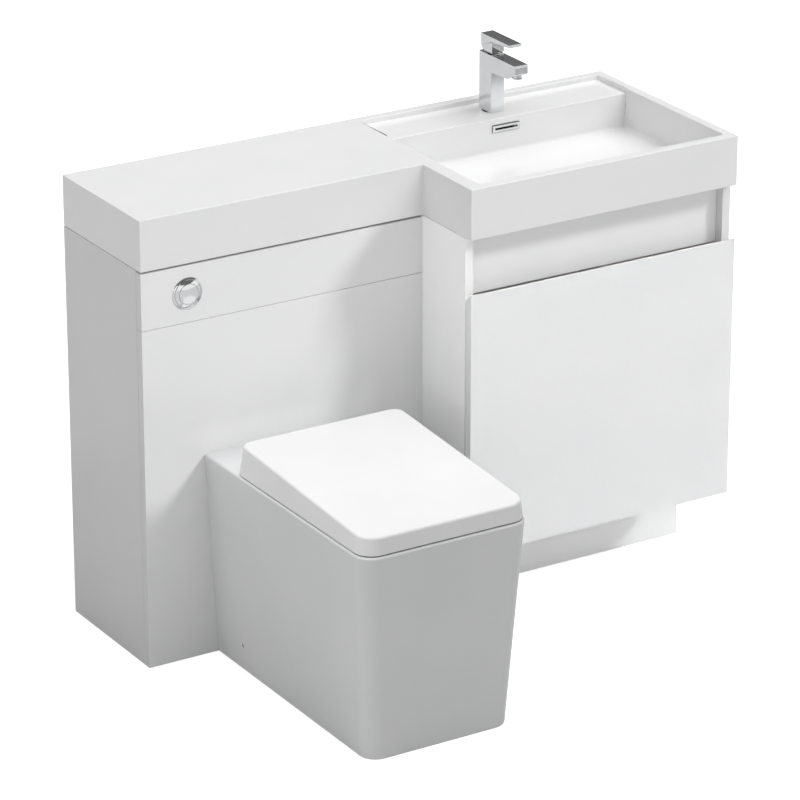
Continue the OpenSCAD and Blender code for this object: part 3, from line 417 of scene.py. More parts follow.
# %% [markdown]
# Chrome is a metal with almost no roughness. The little it has comes from polishing: long fine scratches, which a
# stretched noise gives. Zinc plate, brass, plastics and rubber are made the same way with their own scales.

# %% Metals, plastics and rubber
chrome = new_finish("polished_chrome", (0.8, 0.81, 0.82), 0.05, 1.0)
tint(chrome, (30,), (0.77, 0.78, 0.79), (0.83, 0.84, 0.85))
sheen_range(chrome, (90, 4, (1, 1, 8)), 0.03, 0.08)
skin(chrome, (700, 2, (1, 1, 6)), 0.002, 0.15)

zinc = new_finish("zinc_plate", (0.6, 0.61, 0.63), 0.3, 1.0)
tint(zinc, (160, 4), (0.5, 0.51, 0.53), (0.68, 0.69, 0.7))
sheen_range(zinc, (200, 2, (1, 6, 1)), 0.22, 0.4)
skin(zinc, (500, 2, (1, 8, 1)), 0.01, 0.3)

brass = new_finish("brass", (0.75, 0.58, 0.28), 0.28, 1.0)
tint(brass, (90, 4), (0.66, 0.5, 0.22), (0.8, 0.64, 0.34))
skin(brass, (600, 1, (1, 1, 10)), 0.01, 0.3)


def plastic(name, colour, roughness, scale, dark, light):
    finish = new_finish(name, colour, roughness)
    tint(finish, (scale,), dark, light)
    skin(finish, (1100, 1), 0.02)
    return finish


white_plastic = plastic("white_plastic", (0.8, 0.8, 0.79), 0.38, 12, (0.77, 0.77, 0.755), (0.83, 0.83, 0.82))
grey_plastic = plastic("grey_plastic", (0.22, 0.225, 0.23), 0.42, 40, (0.19, 0.195, 0.2), (0.25, 0.255, 0.26))
blue_plastic = plastic("blue_plastic", (0.05, 0.15, 0.45), 0.4, 40, (0.04, 0.13, 0.4), (0.06, 0.17, 0.5))

rubber = new_finish("rubber", (0.03, 0.03, 0.03), 0.6)
tint(rubber, (200,), (0.02, 0.02, 0.02), (0.045, 0.045, 0.045))
skin(rubber, (900, 2), 0.02, 0.4)
print("metals:", chrome.name, zinc.name, brass.name)

# %% Every node of the solid model gets its finish
FINISHES = {
    "board": lacquer, "inner_board": melamine, "cast_resin": gel_coat, "ceramic": glaze, "seat": thermoset,
    "chrome": chrome, "steel": zinc, "brass": brass, "white_plastic": white_plastic,
    "grey_plastic": grey_plastic, "blue_plastic": blue_plastic, "rubber": rubber,
}
for part in frame["record"]["subparts"]:
    node = frame["nodes"][part["node"]]
    node.data.materials.clear()
    node.data.materials.append(FINISHES[part["material_slot"]])
print(len(FINISHES), "finishes on", len(frame["nodes"]), "nodes")

# %% [markdown]
# ## The cast top
# The top is one casting in the shape of an L. A mould gives it soft edges all over. It starts as the box of the basin
# part, a bisect marks where the shallower part joins, and that strip of its side is extruded over the toilet cabinet.

# %% The L-shaped blank
UNDER, RIM = 790, 890
top = block("basin_casting", (600, -470, UNDER), (1200, 0, RIM))
work(top, "FACE", everything, bpy.ops.mesh.bisect, plane_co=at(600, -300, 800), plane_no=(0, 1, 0))
work(top, "FACE", lambda face: face.normal.x < -0.9 and middle(face).y > -300,
     bpy.ops.mesh.extrude_region_move, TRANSFORM_OT_translate={"value": (mm(-600), 0, 0)})
print(top.name, "starts with", len(top.data.polygons), "faces")

# %% [markdown]
# The bowl is cut with a block whose own lower edges are bevelled first, which leaves a rounded cove all along the
# bottom, as the mould does. The deck behind it is ten millimetres lower than the rim.

# %% Bowl, tap deck and hollows
bowl = block("bowl_cutter", (630, -450, 810), (1180, -120, 930))
bevel(bowl, lambda edge: upright(edge) or middle(edge).z < 811, 8, 8)
for cutter in (
    bowl,
    block("deck_cutter", (630, -122, 880), (1180, -20, 930)),
    block("left_hollow", (18, -282, 760), (600, -18, 870)),
    block("right_hollow", (630, -105, 760), (1182, -18, 868)),
    rod("waste_cutter", (*WASTE, 760), 22.5, 90),
    rod("waste_seat", (*WASTE, 807), 32.5, 10),
    rod("tap_hole", (*TAP, 860), 17.5, 40),
    block("overflow_slot", (876, -130, 855.5), (924, -100, 862.5)),
    block("trim_pocket", (868.8, -125, 851.3), (931.2, -116, 866.7)),
):
    combine(top, cutter)
ease(top, 1.6, 3)
dress(top, "unit", "cast_resin", "basin_top")

# %% [markdown]
# ## Furniture boards
# A cabinet board is sawn from 18 mm sheet and sprayed, so its corners are crisp but not sharp. Each board starts as a
# block, gets its holes, and is eased by 0.8 mm. The end boards have a fine shadow groove under the top, and their
# back edges show what sheet material is: pressed wood chips.

# %% Boards


def board(name, low, high, body, node, holes=(), radius=0.8, slot="board"):
    piece = block(name, low, high)
    if "_end_" in name:
        outer = low[0] if name.endswith("left") else high[0]
        combine(piece, block("shadow_groove", (outer - 3, low[1] - 5, 789.1), (outer + 3, 5, 795)))
    for start, hole_radius, length, axis in holes:
        combine(piece, rod("hole", start, hole_radius, length, axis))
    ease(piece, radius, 2)
    return dress(piece, body, slot, node)


bolt_holes = [((580, y, 270), 4.3, 40, "X") for y in (-60, -221.2)]
for carcass in (
    board("wc_end_left", (0, -281.2, 0), (18, 0, 790), "unit", "wc_side_left"),
    board("wc_end_right", (582, -281.2, 0), (600, 0, 790), "unit", "wc_side_right", bolt_holes),
    board("basin_end_left", (600, -450, 150), (618, 0, 790), "unit", "vanity_side_left", bolt_holes),
    board("basin_end_right", (1182, -450, 150), (1200, 0, 790), "unit", "vanity_side_right"),
    board("basin_floor", (618, -450, 150), (1182, 0, 168), "unit", "vanity_base"),
):
    coat(carcass, chipboard, lambda face: face.normal.y > 0.95)

# %% The two fronts behind the pan
board("wc_lower_front", (0, -300, 0), (600, -282, 675.2), "unit", "wc_front_lower",
      [((300, -310, SOIL_Z), 59, 40, "Y"), ((300, -310, FLUSH_Z), 31, 40, "Y")], 0.6)
board("wc_access_front", (0, -300, 676), (600, -282, 786), "unit", "wc_front_upper",
      [((BUTTON_X, -310, BUTTON_Z), 29, 40, "Y")], 0.6)

# %% The recessed board and the plinth
board("grip_board", (618, -430, 668), (1182, -412, 790), "unit", "grip_panel")
board("plinth_board", (600, -300, 0), (1200, -282, 148), "unit", "plinth_front")
board("plinth_return", (1182, -282, 0), (1200, 0, 148), "unit", "plinth_end")

# %% [markdown]
# The rails are cut from the same sheet, faced with melamine and left raw along the top and bottom, where nobody
# looks. Two rails are one node in the solid model, so the second block is joined to the first.

# %% Rails


def rails(name, left, right, heights, node):
    pieces = []
    for height in heights:
        rail = block(name, (left, -18, height), (right, 0, height + 90))
        if height > 600:
            for x in (left + 60, right - 60):
                combine(rail, rod("hole", (x, -20, height + 45), 4, 24, "Y"))
                combine(rail, rod("countersink", (x, -18.5, height + 45), 8, 3, "Y"))
        pieces.append(rail)
    pair = joined(pieces)
    ease(pair, 0.4, 1)
    dress(pair, "unit", "inner_board", node)
    coat(pair, chipboard, lambda face: abs(face.normal.z) > 0.95)


rails("wc_rails", 18, 582, (700, 20), "wc_back_rails")
rails("basin_rails", 618, 1182, (700, 188), "vanity_back_rails")

# %% [markdown]
# ## Drawer
# The drawer front has no handle. The back of its top edge is sawn at forty-five degrees, so that fingers in the open
# groove above it find a grip. The bisect tool makes that saw cut, and fills the face that it leaves.

# %% Drawer front
front = block("drawer_face", (601, -470, 152), (1199, -452, 682))
slice_off(front, (900, -467.5, 682), (0, 1, 1))
ease(front, 0.8, 2, 30)
dress(front, "drawer", "board", "drawer_front")

# %% [markdown]
# The box behind it is fifteen millimetre board with an eight millimetre base. The boards butt against each other, so
# only the pockets of the screws tell how it is joined.

# %% Drawer box
sides = block("drawer_walls", (630.7, -452, 188), (645.7, -52, 508))
combine(sides, block("other_wall", (1154.3, -452, 188), (1169.3, -52, 508)), "UNION")
for x in (630.7, 1169.3):
    for z in (230, 348, 466):
        combine(sides, rod("screw_pocket", (x - 1.5, -59.5, z), 3.6, 3, "X", 24))
ease(sides, 0.8, 2)
dress(sides, "drawer", "inner_board", "drawer_sides")
board("drawer_rear", (645.7, -67, 188), (1154.3, -52, 508), "drawer", "drawer_back", slot="inner_board")
board("drawer_floor", (645.7, -452, 198), (1154.3, -67, 206), "drawer", "drawer_base", (), 0.4, "inner_board")

# %% [markdown]
# ## Runners
# Each runner is three folded steel channels. Their own triangles from the solid model already nest exactly, so a copy
# of each is merged, its folds are rounded, and a row of screw holes is punched through the web.

# %% Runners
for member, body, inset in (("runner_outer", "unit", 0.7), ("runner_middle", "runner_middle", 6.3),
                            ("runner_inner", "drawer", 12)):
    piece = eased_copy(member + "_steel", member, 0.3)
    for y in (-420, -300, -180, -80):
        for x in (618 + inset, 1182 - inset):
            combine(piece, rod("screw_hole", (x - 1.6, y, 222.5), 2.6, 3.2, "X", 20))
    smooth(piece)
    dress(piece, body, "steel", member)

# %% [markdown]
# ## Pan
# The pan is one piece of vitreous china. Outside it is a square trunk that narrows to the floor. A block is scaled at
# its foot, its two front corners are bevelled round, and its rim gets the soft edge that glaze always leaves.

# %% The square trunk


def trunk(name, inset, low, high, back, corner):
    foot, rim = 152 - inset, 175 - inset
    piece = block(name, (300 - rim, -876 + inset, low), (300 + rim, back, high))
    work(piece, "FACE", lambda face: face.normal.z < -0.9, bpy.ops.transform.resize,
         value=(foot / rim, 1, 1), center_override=at(300, -300, low))
    work(piece, "EDGE", lambda edge: middle(edge).z < low + 1 and middle(edge).y < -800,
         bpy.ops.transform.translate, value=(0, mm(24), 0))
    bevel(piece, lambda edge: upright(edge) and middle(edge).y < -800, corner, 14)
    return piece


pan = trunk("china_pan", 0, 0, 410, -300, 35)
bevel(pan, lambda edge: borders_top(edge) and middle(edge).y < -302, 5, 5)
bevel(pan, lambda edge: middle(edge).z < 1 and middle(edge).y < -302, 2.5, 3)
combine(pan, trunk("hollow", 12, -10, 382, -290, 23))
print(pan.name, "has", len(pan.data.polygons), "faces before the bowl")

# %% [markdown]
# Inside, the bowl narrows from a wide opening to the throat of the trap, which turns down, up and back. It is made in
# one go: a rounded rectangle is extruded down ring by ring, and then spun round each bend of the trapway. The same
# shape nine millimetres bigger is the outside of that wall. A ring is its height, width, length and place.

# %% Bowl and trapway
RINGS = [(404, 226, 301, -343), (398, 223, 296, -343), (370, 214, 280, -341), (335, 202, 258, -338),
         (300, 190, 236, -335), (270, 172, 212, -329), (240, 148, 182, -317), (214, 122, 150, -302),
         (192, 98, 120, -286), (173, 80, 94, -269), (160, 70, 76, -259), (150, 67, 68, -255.5), (140, 66, 66, -255)]


def throat(name, grow, rim):
    fresh()
    width, length, place, height = 230 + 2 * grow, 305 + 2 * grow, -343, rim
    bpy.ops.mesh.primitive_plane_add(size=1, location=at(*BOWL, rim))
    piece = bpy.context.object
    piece.scale = (mm(width), mm(length), 1)
    bpy.ops.object.transform_apply(location=True, rotation=False, scale=True)
    bpy.ops.object.mode_set(mode="EDIT")
    bpy.ops.mesh.select_all(action="SELECT")
    bpy.ops.mesh.bevel(offset=mm(103 + grow), segments=12, affect="VERTICES")
    for ring_z, ring_width, ring_length, ring_y in RINGS:
        ring_width, ring_length, ring_z = ring_width + 2 * grow, ring_length + 2 * grow, ring_z - grow * 0.6
        if ring_z > rim - 1:
            continue
        bpy.ops.mesh.extrude_region_move(
            TRANSFORM_OT_translate={"value": (0, mm(ring_y - place), mm(ring_z - height))})
        bpy.ops.transform.resize(value=(ring_width / width, ring_length / length, 1),
                                 center_override=at(300, -300 + ring_y, ring_z))
        width, length, place, height = ring_width, ring_length, ring_y, ring_z
    bpy.ops.mesh.extrude_region_move(TRANSFORM_OT_translate={"value": (0, 0, mm(120 - height))})
    bpy.ops.mesh.spin(steps=20, angle=-pi, center=at(300, -510, 120), axis=(1, 0, 0))
    bpy.ops.mesh.extrude_region_move(TRANSFORM_OT_translate={"value": (0, 0, mm(5))})
    bpy.ops.mesh.spin(steps=12, angle=pi / 2, center=at(300, -405, 125), axis=(1, 0, 0))
    bpy.ops.mesh.extrude_region_move(TRANSFORM_OT_translate={"value": (0, mm(35), 0)})
    bpy.ops.mesh.select_all(action="SELECT")
    bpy.ops.mesh.normals_make_consistent(inside=False)
    bpy.ops.object.mode_set(mode="OBJECT")
    piece.name = piece.data.name = name
    return piece


combine(pan, throat("bowl_wall", 9, 396), "UNION")
combine(pan, rod("spigot", (300, -385, SOIL_Z), 51, 145, "Y"), "UNION")
combine(pan, rod("inlet_boss", (300, -533, FLUSH_Z), 36.5, 235, "Y"), "UNION")
for cutter in (
    throat("bowl_space", 0, 412),
    rod("spigot_bore", (300, -375, SOIL_Z), 43, 140, "Y"),
    rod("inlet_passage", (300, -543, FLUSH_Z), 18.5, 245, "Y"),
    rod("inlet_socket", (300, -370, FLUSH_Z), 27.5, 80, "Y"),
    rod("side_hole", (100, -400, 50), 5, 400, "X", 32),
    *(rod("hinge_hole", (x, HINGE[0], 376), 7, 40, "Z", 32) for x in POSTS),
):
    combine(pan, cutter)
bevel(pan, lambda edge: borders_top(edge) and (middle(edge) - Vector((*BOWL, 410))).length < 165, 5, 4,
      clamp_overlap=False)
smooth(pan, ROUND_EDGES)
dress(pan, "unit", "ceramic", "pan")

# %% [markdown]
# ## Seat
# The seat ring is moulded thermoset, thick and round over its edges. A block gets four round corners, a flared oval
# is cut through it, and then the upper edges are rolled over with a wide bevel. Two knuckles carry the hinge.

# %% Seat ring


def add_barrel(arm, x):
    combine(arm, rod("barrel", (x, *HINGE), 9, 16, "X", 48), "UNION")
    combine(arm, rod("pin_bore", (x - 1, *HINGE), 5.05, 18, "X", 48))


ring = block("seat_moulding", (137.5, -864, 414.5), (462.5, -453, 430.5))
bevel(ring, upright, 26, 12)
fresh()
bpy.ops.mesh.primitive_plane_add(size=1, location=at(*BOWL, 413))
oval = bpy.context.object
oval.scale = (mm(219), mm(274), 1)
bpy.ops.object.transform_apply(location=True, rotation=False, scale=True)
work(oval, "FACE", everything, bpy.ops.mesh.bevel, offset=mm(100), segments=14, affect="VERTICES")
work(oval, "FACE", everything, bpy.ops.mesh.extrude_region_move,
     TRANSFORM_OT_translate={"value": (0, 0, mm(19))})
work(oval, "FACE", lambda face: middle(face).z > 431, bpy.ops.transform.resize,
     value=(1.045, 1.035, 1), center_override=at(*BOWL, 432))
work(oval, "FACE", everything, bpy.ops.mesh.normals_make_consistent, inside=False)
combine(ring, oval)
bevel(ring, borders_top, 5, 6)
bevel(ring, lambda edge: middle(edge).z < 414.6, 1.5, 2)
for x in (387.8, 196.2):
    arm = block("seat_arm", (x, -457, 414.5), (x + 16, -426.7, 446.3))
    slice_off(arm, (x, -457, 430.5), (0, -0.667, 0.745))
    slice_off(arm, (x, -426.7, 433.7), (0, 0.88, -0.47))
    slice_off(arm, (x, -439.3, 446.3), (0, 0.707, 0.707))
    add_barrel(arm, x)
    combine(ring, arm, "UNION")
for x in (159.5, 440.5):
    for y in (-493, -794):
        combine(ring, rod("seat_buffer", (x, y, 410.1), 9, 5, "Z", 40), "UNION")
smooth(ring, ROUND_EDGES)
dress(ring, "seat", "seat", "seat_ring")

# %% [markdown]
# ## Lid
# The lid is a wedge: higher at the hinge than at the front, with every side leaning in a little so that it leaves its
# mould. Moving the edges of a block's top face gives the wedge, and wide bevels give its corners. A second one, a
# wall's thickness smaller, is subtracted to make the shell that drops over the seat ring.

# %% Lid shell


def wedge(name, inset, drop):
    low, high = 412.5 - drop, 474 - drop
    crown, rim = 170.5 - inset, 173.5 - inset
    piece = block(name, (300 - rim, -873 + inset, low), (300 + rim, -413 - inset, high))
    work(piece, "FACE", faces_up, bpy.ops.transform.resize,
         value=(crown / rim, 1, 1), center_override=at(*BOWL, high))
    work(piece, "EDGE", lambda edge: middle(edge).z > low + 50 and middle(edge).y < -800,
         bpy.ops.transform.translate, value=(0, mm(3), mm(-28)))
    work(piece, "EDGE", lambda edge: middle(edge).z > low + 50 and middle(edge).y > -430,
         bpy.ops.transform.translate, value=(0, mm(-13), 0))
    bevel(piece, lambda edge: abs(along(edge).z) > 0.7 and middle(edge).y < -800, 36 - inset, 14)
    bevel(piece, lambda edge: abs(along(edge).z) > 0.7 and middle(edge).y > -440, 22 - inset, 10)
    bevel(piece, borders_top, 4.5 - inset * 0.5, 5)
    return piece


lid = wedge("lid_shell", 0, 0)
bevel(lid, lambda edge: middle(edge).z < 412.6, 1, 2)
combine(lid, wedge("lid_space", 5, 5))
print("lid shell:", len(lid.data.polygons), "faces")

# %% [markdown]
# At the hinge the shell needs four things: knuckles for the pins, notches for the posts, a heel rounded about the
# axis so that it clears the china as it swings, and a back wall that stops short of the seat ring. Four buffers set
# it down.

# %% Hinge end and buffers
for x in (351.2, 232.8):
    knuckle = block("lid_web", (x, -442, 440), (x + 16, -424, 470))
    add_barrel(knuckle, x)
    combine(lid, knuckle, "UNION")
heel = block("heel_cutter", (100, -433, 405), (500, -405, 440))
combine(heel, rod("swing", (90, *HINGE), 29.3, 420, "X", 96))
combine(lid, heel)
for x in (367.6, 195.4):
    combine(lid, block("post_notch", (x, -430, 405), (x + 37, -405, 454)))
combine(lid, block("back_opening", (139.5, -423.5, 405), (460.5, -405, 428)))
for x in (158.5, 441.5):
    for y, high in ((-493, 462), (-793, 444)):
        combine(lid, rod("lid_buffer", (x, y, 430.7), 7, high - 430.7, "Z", 40), "UNION")
smooth(lid, ROUND_EDGES)
dress(lid, "lid", "seat", "lid")

# %% [markdown]
# ## Hinge posts
# Two chrome posts stand on the deck. Each is a small column with a flange, turned on the wheel, with a barrel across
# its top and a pin that comes out of both ends of the barrel. A stud goes down through the china to a nut.

# %% Posts and pins
posts = []
for x in POSTS:
    post = turned("hinge_post", (x, HINGE[0], 0), [
        (0, 360), (5.2, 360), (6, 361), (6, 410), (9.5, 410), (9.5, 412.6), (8.6, 414), (8, 415.5), (8, 440),
        (0, 440)])
    combine(post, turned("barrel", (x, *HINGE), [
        (0, -26.3), (4.2, -26.3), (5, -25.5), (5, -9.5), (8.4, -9.5), (9, -8.9), (9, 8.9), (8.4, 9.5), (5, 9.5),
        (5, 25.5), (4.2, 26.3), (0, 26.3)], SIDEWAYS, 48), "UNION")
    posts.append(post)
posts = joined(posts)
smooth(posts)
dress(posts, "unit", "chrome", "hinge_posts")

# %% [markdown]
# ## Tap
# The tap is a square column with a flat spout, cast in brass, ground flat and plated with chrome. The spout is a
# second block, and a bisect gives it the slanted underside. Ground edges are crisp: under a millimetre.

# %% Tap body
tap = block("tap_casting", (885, -90, 880.1), (915, -46, 998))
spout = block("spout", (885, -173, 960), (915, -80, 998))
slice_off(spout, (900, -173, 979.6), (0, -0.455, -0.89))
slice_off(spout, (900, -136, 965), (0, -0.03, -1))
combine(tap, spout, "UNION")
combine(tap, rod("cartridge_bore", (*TAP, 964), 12.55, 40))
combine(tap, rod("aerator_bore", (*AERATOR, 968), 8.6, 20))
ease(tap, 0.8, 3, 20)
combine(tap, block("seal_recess", (887.9, -87.1, 878), (912.1, -48.9, 881.5)))
dress(tap, "unit", "chrome", "tap_body")

# %% [markdown]
# The lever is one block over the column with a thin blade towards the user. Its heel is rounded at the back. Between
# lever and body there is a three millimetre gap, and in it the dark neck of the cartridge shows.

# %% Lever
lever = block("lever_blade", (886, -152, 1024), (914, -50, 1034))
slice_off(lever, (900, -152, 1028), (0, -0.064, -1))
heel = block("lever_heel", (886, -90, 1001), (914, -50, 1030))
bevel(heel, lambda edge: middle(edge).y > -51 and middle(edge).z < 1002, 15, 12)
combine(lever, heel, "UNION")
ease(lever, 0.7, 3, 20)
combine(lever, block("spindle_socket", (895.9, -72.1, 999), (904.1, -63.9, 1015.1)))
dress(lever, "lever", "chrome", "tap_lever")

# %% Cartridge, aerator and seal
neck = turned("cartridge_sleeve", (*TAP, 880), [
    (0, 85), (12, 85), (12.5, 85.5), (12.5, 116), (12, 117), (11.6, 118), (0, 118)])
combine(neck, block("spindle_slot", (895.7, -78, 980), (904.3, -58, 1002)))
combine(neck, rod("pin_bore", (880, -68, 992), 2, 40, "X", 24))
smooth(neck)
dress(neck, "cartridge", "grey_plastic", "tap_cartridge")

aerator = turned("aerator", (*AERATOR, 880), [
    (0, 107), (8.5, 107), (8.5, 90), (9.5, 90), (9.5, 88), (9.1, 87.2), (8, 87), (7, 87.5), (7, 90), (0, 90)])
for x, y in circle(18, 9.9):
    combine(aerator, rod("groove", (AERATOR[0] + x, AERATOR[1] + y, 966), 0.8, 5, "Z", 12))
smooth(aerator)
dress(aerator, "unit", "chrome", "tap_aerator")

seal = block("tap_gasket", (888, -87, 880), (912, -49, 881.5))
combine(seal, block("window", (888, -85, 879), (912, -51, 883)))
ease(seal, 0.3, 2)
dress(seal, "unit", "rubber", "tap_seal")

# %% [markdown]
# ## Overflow and waste
# The overflow is a chrome frame in a pocket of the bowl's back wall, with a dark slot. The waste has a domed plug over
# a flange, and under the basin its thread and its big nut.

# %% Overflow trim
trim = block("overflow_frame", (870, -122, 852.5), (930, -116, 865.5))
bevel(trim, runs_back, 1.6, 5)
combine(trim, block("sleeve", (876.2, -117, 855.7), (923.8, -111, 862.3)), "UNION")
combine(trim, block("slot", (875, -125, 857), (926, -105, 861)))
ease(trim, 0.4, 2)
dress(trim, "unit", "chrome", "overflow_trim")

# %% Waste
waste = turned("waste_tube", (*WASTE, 0), [
    (18, 812), (31.2, 812), (32, 811.2), (32, 807.6), (31.4, 807), (21, 807), (21, 720.6), (20.4, 720),
    (18, 720)], closed=True)
combine(waste, block("overflow_way", (870, -331, 778), (930, -319, 784)))
smooth(waste)
dress(waste, "unit", "chrome", "waste_body")

plug = turned("domed_plug", (*WASTE, 0), [
    (0, 740), (4, 740), (4, 802), (9, 802), (9, 812.1), (30.4, 812.1), (31, 812.7), (31, 814.4), (30.3, 815.5),
    (29, 816.1), (20, 816.9), (10, 817.5), (0, 817.7)])
smooth(plug)
dress(plug, "waste_plug", "chrome", "waste_plug")

nut = turned("waste_backnut", (*WASTE, 762), [
    (21.05, 0), (29.5, 0), (30.5, 1), (30.5, 2.5), (25, 3), (25, 12), (21.05, 12)], closed=True)
WINGS = 8
for step in range(WINGS):
    wing = block("wing", (923, -328, 764), (930.5, -322, 774))
    swing(wing, *WASTE, 2 * pi * step / WINGS)
    combine(nut, wing, "UNION")
ease(nut, 0.4, 1)
dress(nut, "unit", "white_plastic", "waste_nut")

# %% [markdown]
# ## Bottle trap
# The trap is turned from end to end: a bottle with a grip ring at its foot, and nuts with ribs that a hand can hold.
# The ribs are cut by a ring of small rods.

# %% Trap
bottle = turned("trap_bottle", (*WASTE, 0), [
    (0, 595), (21, 595), (22, 596), (22, 600.5), (28.5, 601), (30, 602.5), (30, 612), (29.2, 613), (29.2, 614.5),
    (30, 615.5), (30, 690), (29, 693.5), (26, 695), (17, 695), (16, 696), (16, 720), (14, 720), (14, 692),
    (26.5, 691), (27, 690), (27, 604), (0, 603)])
side = turned("trap_side", (*WASTE, 668), [
    (14, 25), (21, 25), (21, 45.4), (20.4, 46), (16.05, 46), (16.05, 32), (14, 32)], BACKWARD, closed=True)
combine(bottle, rod("side_hole", (*WASTE, 668), 14, 40, "Y"))
combine(bottle, side, "UNION")
for x, y in circle(20, 31):
    combine(bottle, rod("grip", (WASTE[0] + x, WASTE[1] + y, 601), 2.2, 10.5, "Z", 12))
smooth(bottle)
dress(bottle, "unit", "white_plastic", "trap_body")


def ribbed_nut(name, height, rings, lean, reach, spread, length):
    piece = turned(name, (*WASTE, height), rings, lean, 48, True)
    x, y = WASTE
    for a, b in circle(16, spread):
        if lean == BACKWARD:
            rib = rod("rib", (x + a, y + reach, height + b), 2.4, length, "Y", 12)
        else:
            rib = rod("rib", (x + a, y + b, height + reach), 2.4, length, "Z", 12)
        combine(piece, rib)
    return piece


nuts = ribbed_nut("trap_couplings", 706, [
    (16.05, 0), (26.5, 0), (28, 1.5), (28, 30), (26.8, 32), (21.05, 32), (21.05, 14), (16.05, 13.8)],
    lean=UPWARD, reach=3, spread=29.2, length=26)
combine(nuts, ribbed_nut("side_coupling", 668, [
    (21.05, 38), (24, 38), (25, 39), (25, 57), (24, 58), (16.05, 58), (16.05, 47.2), (21.05, 47)],
    lean=BACKWARD, reach=40, spread=26.2, length=15), "UNION")
smooth(nuts)
dress(nuts, "unit", "white_plastic", "trap_nuts")

# %% [markdown]
# ## Flush button
# A ring and two buttons share one low dome of polished chrome, so that a curved picture of the room runs across all
# three. The outer button gives the full flush, the inner one the half flush. Fine gaps keep them apart.

# %% Dome


DOME_RISE, DOME_RADIUS = 8, 31


def dome(radius):
    return 1 + DOME_RISE * (1 - (radius / DOME_RADIUS) ** 2)


def dome_run(first, last, steps):
    radii = [first + (last - first) * step / steps for step in range(steps + 1)]
    return [(radius, dome(radius)) for radius in radii]


PLACE = (BUTTON_X, -300, BUTTON_Z)
housing = turned("button_ring", PLACE, (
    [(25.5, -37), (25.5, -8.5), (27.3, -8.5), (27.3, dome(27.3) - 0.5)] + dome_run(27.7, 30.6, 3)
    + [(31, 0.7), (31, 0), (28.5, 0), (28.5, -18), (34.5, -18), (34.5, -26), (28.5, -26), (28.5, -40), (0, -40),
       (0, -37)]), OUTWARD, 96)
for x in (86, 106):
    combine(housing, rod("cable_spigot", (x, -261, BUTTON_Z), 3, 13, "Y", 24), "UNION")
smooth(housing, 25)
dress(housing, "unit", "chrome", "button_housing")

full = turned("full_flush", PLACE, (
    [(19.8, -23), (19.8, dome(19.8) - 0.5)] + dome_run(20.2, 26.6, 5)
    + [(27, dome(27) - 0.5), (27, -1), (25.2, -1), (25.2, -23)]), OUTWARD, 96, True)
smooth(full, 25)
dress(full, "full_button", "chrome", "flush_button_full")

half = turned("half_flush", PLACE, (
    [(0, -21), (18.5, -21), (18.5, -1), (19.5, -1), (19.5, dome(19.5) - 0.5)] + dome_run(19.1, 0, 8)), OUTWARD, 96)
smooth(half, 25)
dress(half, "half_button", "chrome", "flush_button_half")

# %% [markdown]
# ## Cistern and pipes
# Nobody sees the cistern, but a plumber does. It is blow-moulded, with a rolled rim and shallow ribs that stiffen its
# flat walls. Each rib is a thin block with round ends, joined to the wall.

# %% Cistern
FLUSH_VALVE, FILL_VALVE = (300, -97), (420, -97)
tank = block("cistern_moulding", (105, -172, 430), (495, -22, 730))
bevel(tank, upright, 4, 5)
bevel(tank, lambda edge: middle(edge).z < 431, 2.5, 3)
combine(tank, block("water_space", (109, -168, 434), (491, -26, 760)))
for x in (170, 230, 370, 430):
    rib = block("rib", (x - 5, -173.2, 470), (x + 5, -171, 690))
    bevel(rib, runs_back, 4.5, 5)
    combine(tank, rib, "UNION")
combine(tank, rod("outlet", (*FLUSH_VALVE, 420), 25, 20))
combine(tank, rod("inlet", (*FILL_VALVE, 420), 10.5, 20, sides=32))
smooth(tank)
dress(tank, "unit", "white_plastic", "cistern_tank")

cover = block("cistern_cover", (102, -175, 730), (498, -19, 745))
bevel(cover, upright, 7, 6)
work(cover, "FACE", faces_up, bpy.ops.mesh.inset, thickness=mm(12))
work(cover, "FACE", lambda face: faces_up(face) and face.calc_area() > 0.03,
     bpy.ops.transform.translate, value=(0, 0, mm(-2)))
combine(cover, block("plug_rim", (110, -167, 722), (490, -27, 731)), "UNION")
ease(cover, 1.2, 2)
dress(cover, "unit", "white_plastic", "cistern_lid")

# %% Float and flush valve
float_cup = turned("float_cup", (*FILL_VALVE, 460.3), [
    (10.3, 0), (26.5, 0), (28, 1.5), (28, 56), (26, 60), (14, 60), (12, 57), (10.3, 57)], closed=True)
smooth(float_cup)
dress(float_cup, "float", "blue_plastic", "fill_float")

tower = turned("flush_tower", (*FLUSH_VALVE, 434), [
    (14.4, 0), (34.8, 0), (36, 1.2), (36, 6.8), (34.8, 8), (22, 8), (22, 198.8), (20.8, 200), (14.4, 200)],
    closed=True)
for turn in (0, 60, 120):
    slot = block("slot", (295, -120, 446), (305, -74, 476))
    swing(slot, *FLUSH_VALVE, radians(turn))
    combine(tower, slot)
smooth(tower)
dress(tower, "unit", "white_plastic", "flush_valve")

# %% [markdown]
# ## Feet
# Each adjustable foot is a turned plastic column: a wide pad on the floor, a threaded leg and a socket that is
# screwed under the cabinet. A clip on each front foot holds the plinth board.

# %% Feet
feet = joined([turned("foot", (x, y, 0), [
    (0, 0), (25, 0), (26, 1), (26, 8), (22, 12), (14.6, 12.5), (14, 14), (14, 120), (22.5, 120), (24, 121.5),
    (24, 143), (31, 144), (32, 145), (32, 150), (0, 150)], sides=48) for x in (670, 1130) for y in (-248, -60)])
smooth(feet)
dress(feet, "unit", "grey_plastic", "adjustable_feet")

# %% [markdown]
# The small fittings that are left have the right shape in the solid model already. A copy of each gets its edges
# rounded, as moulding and pressing do.

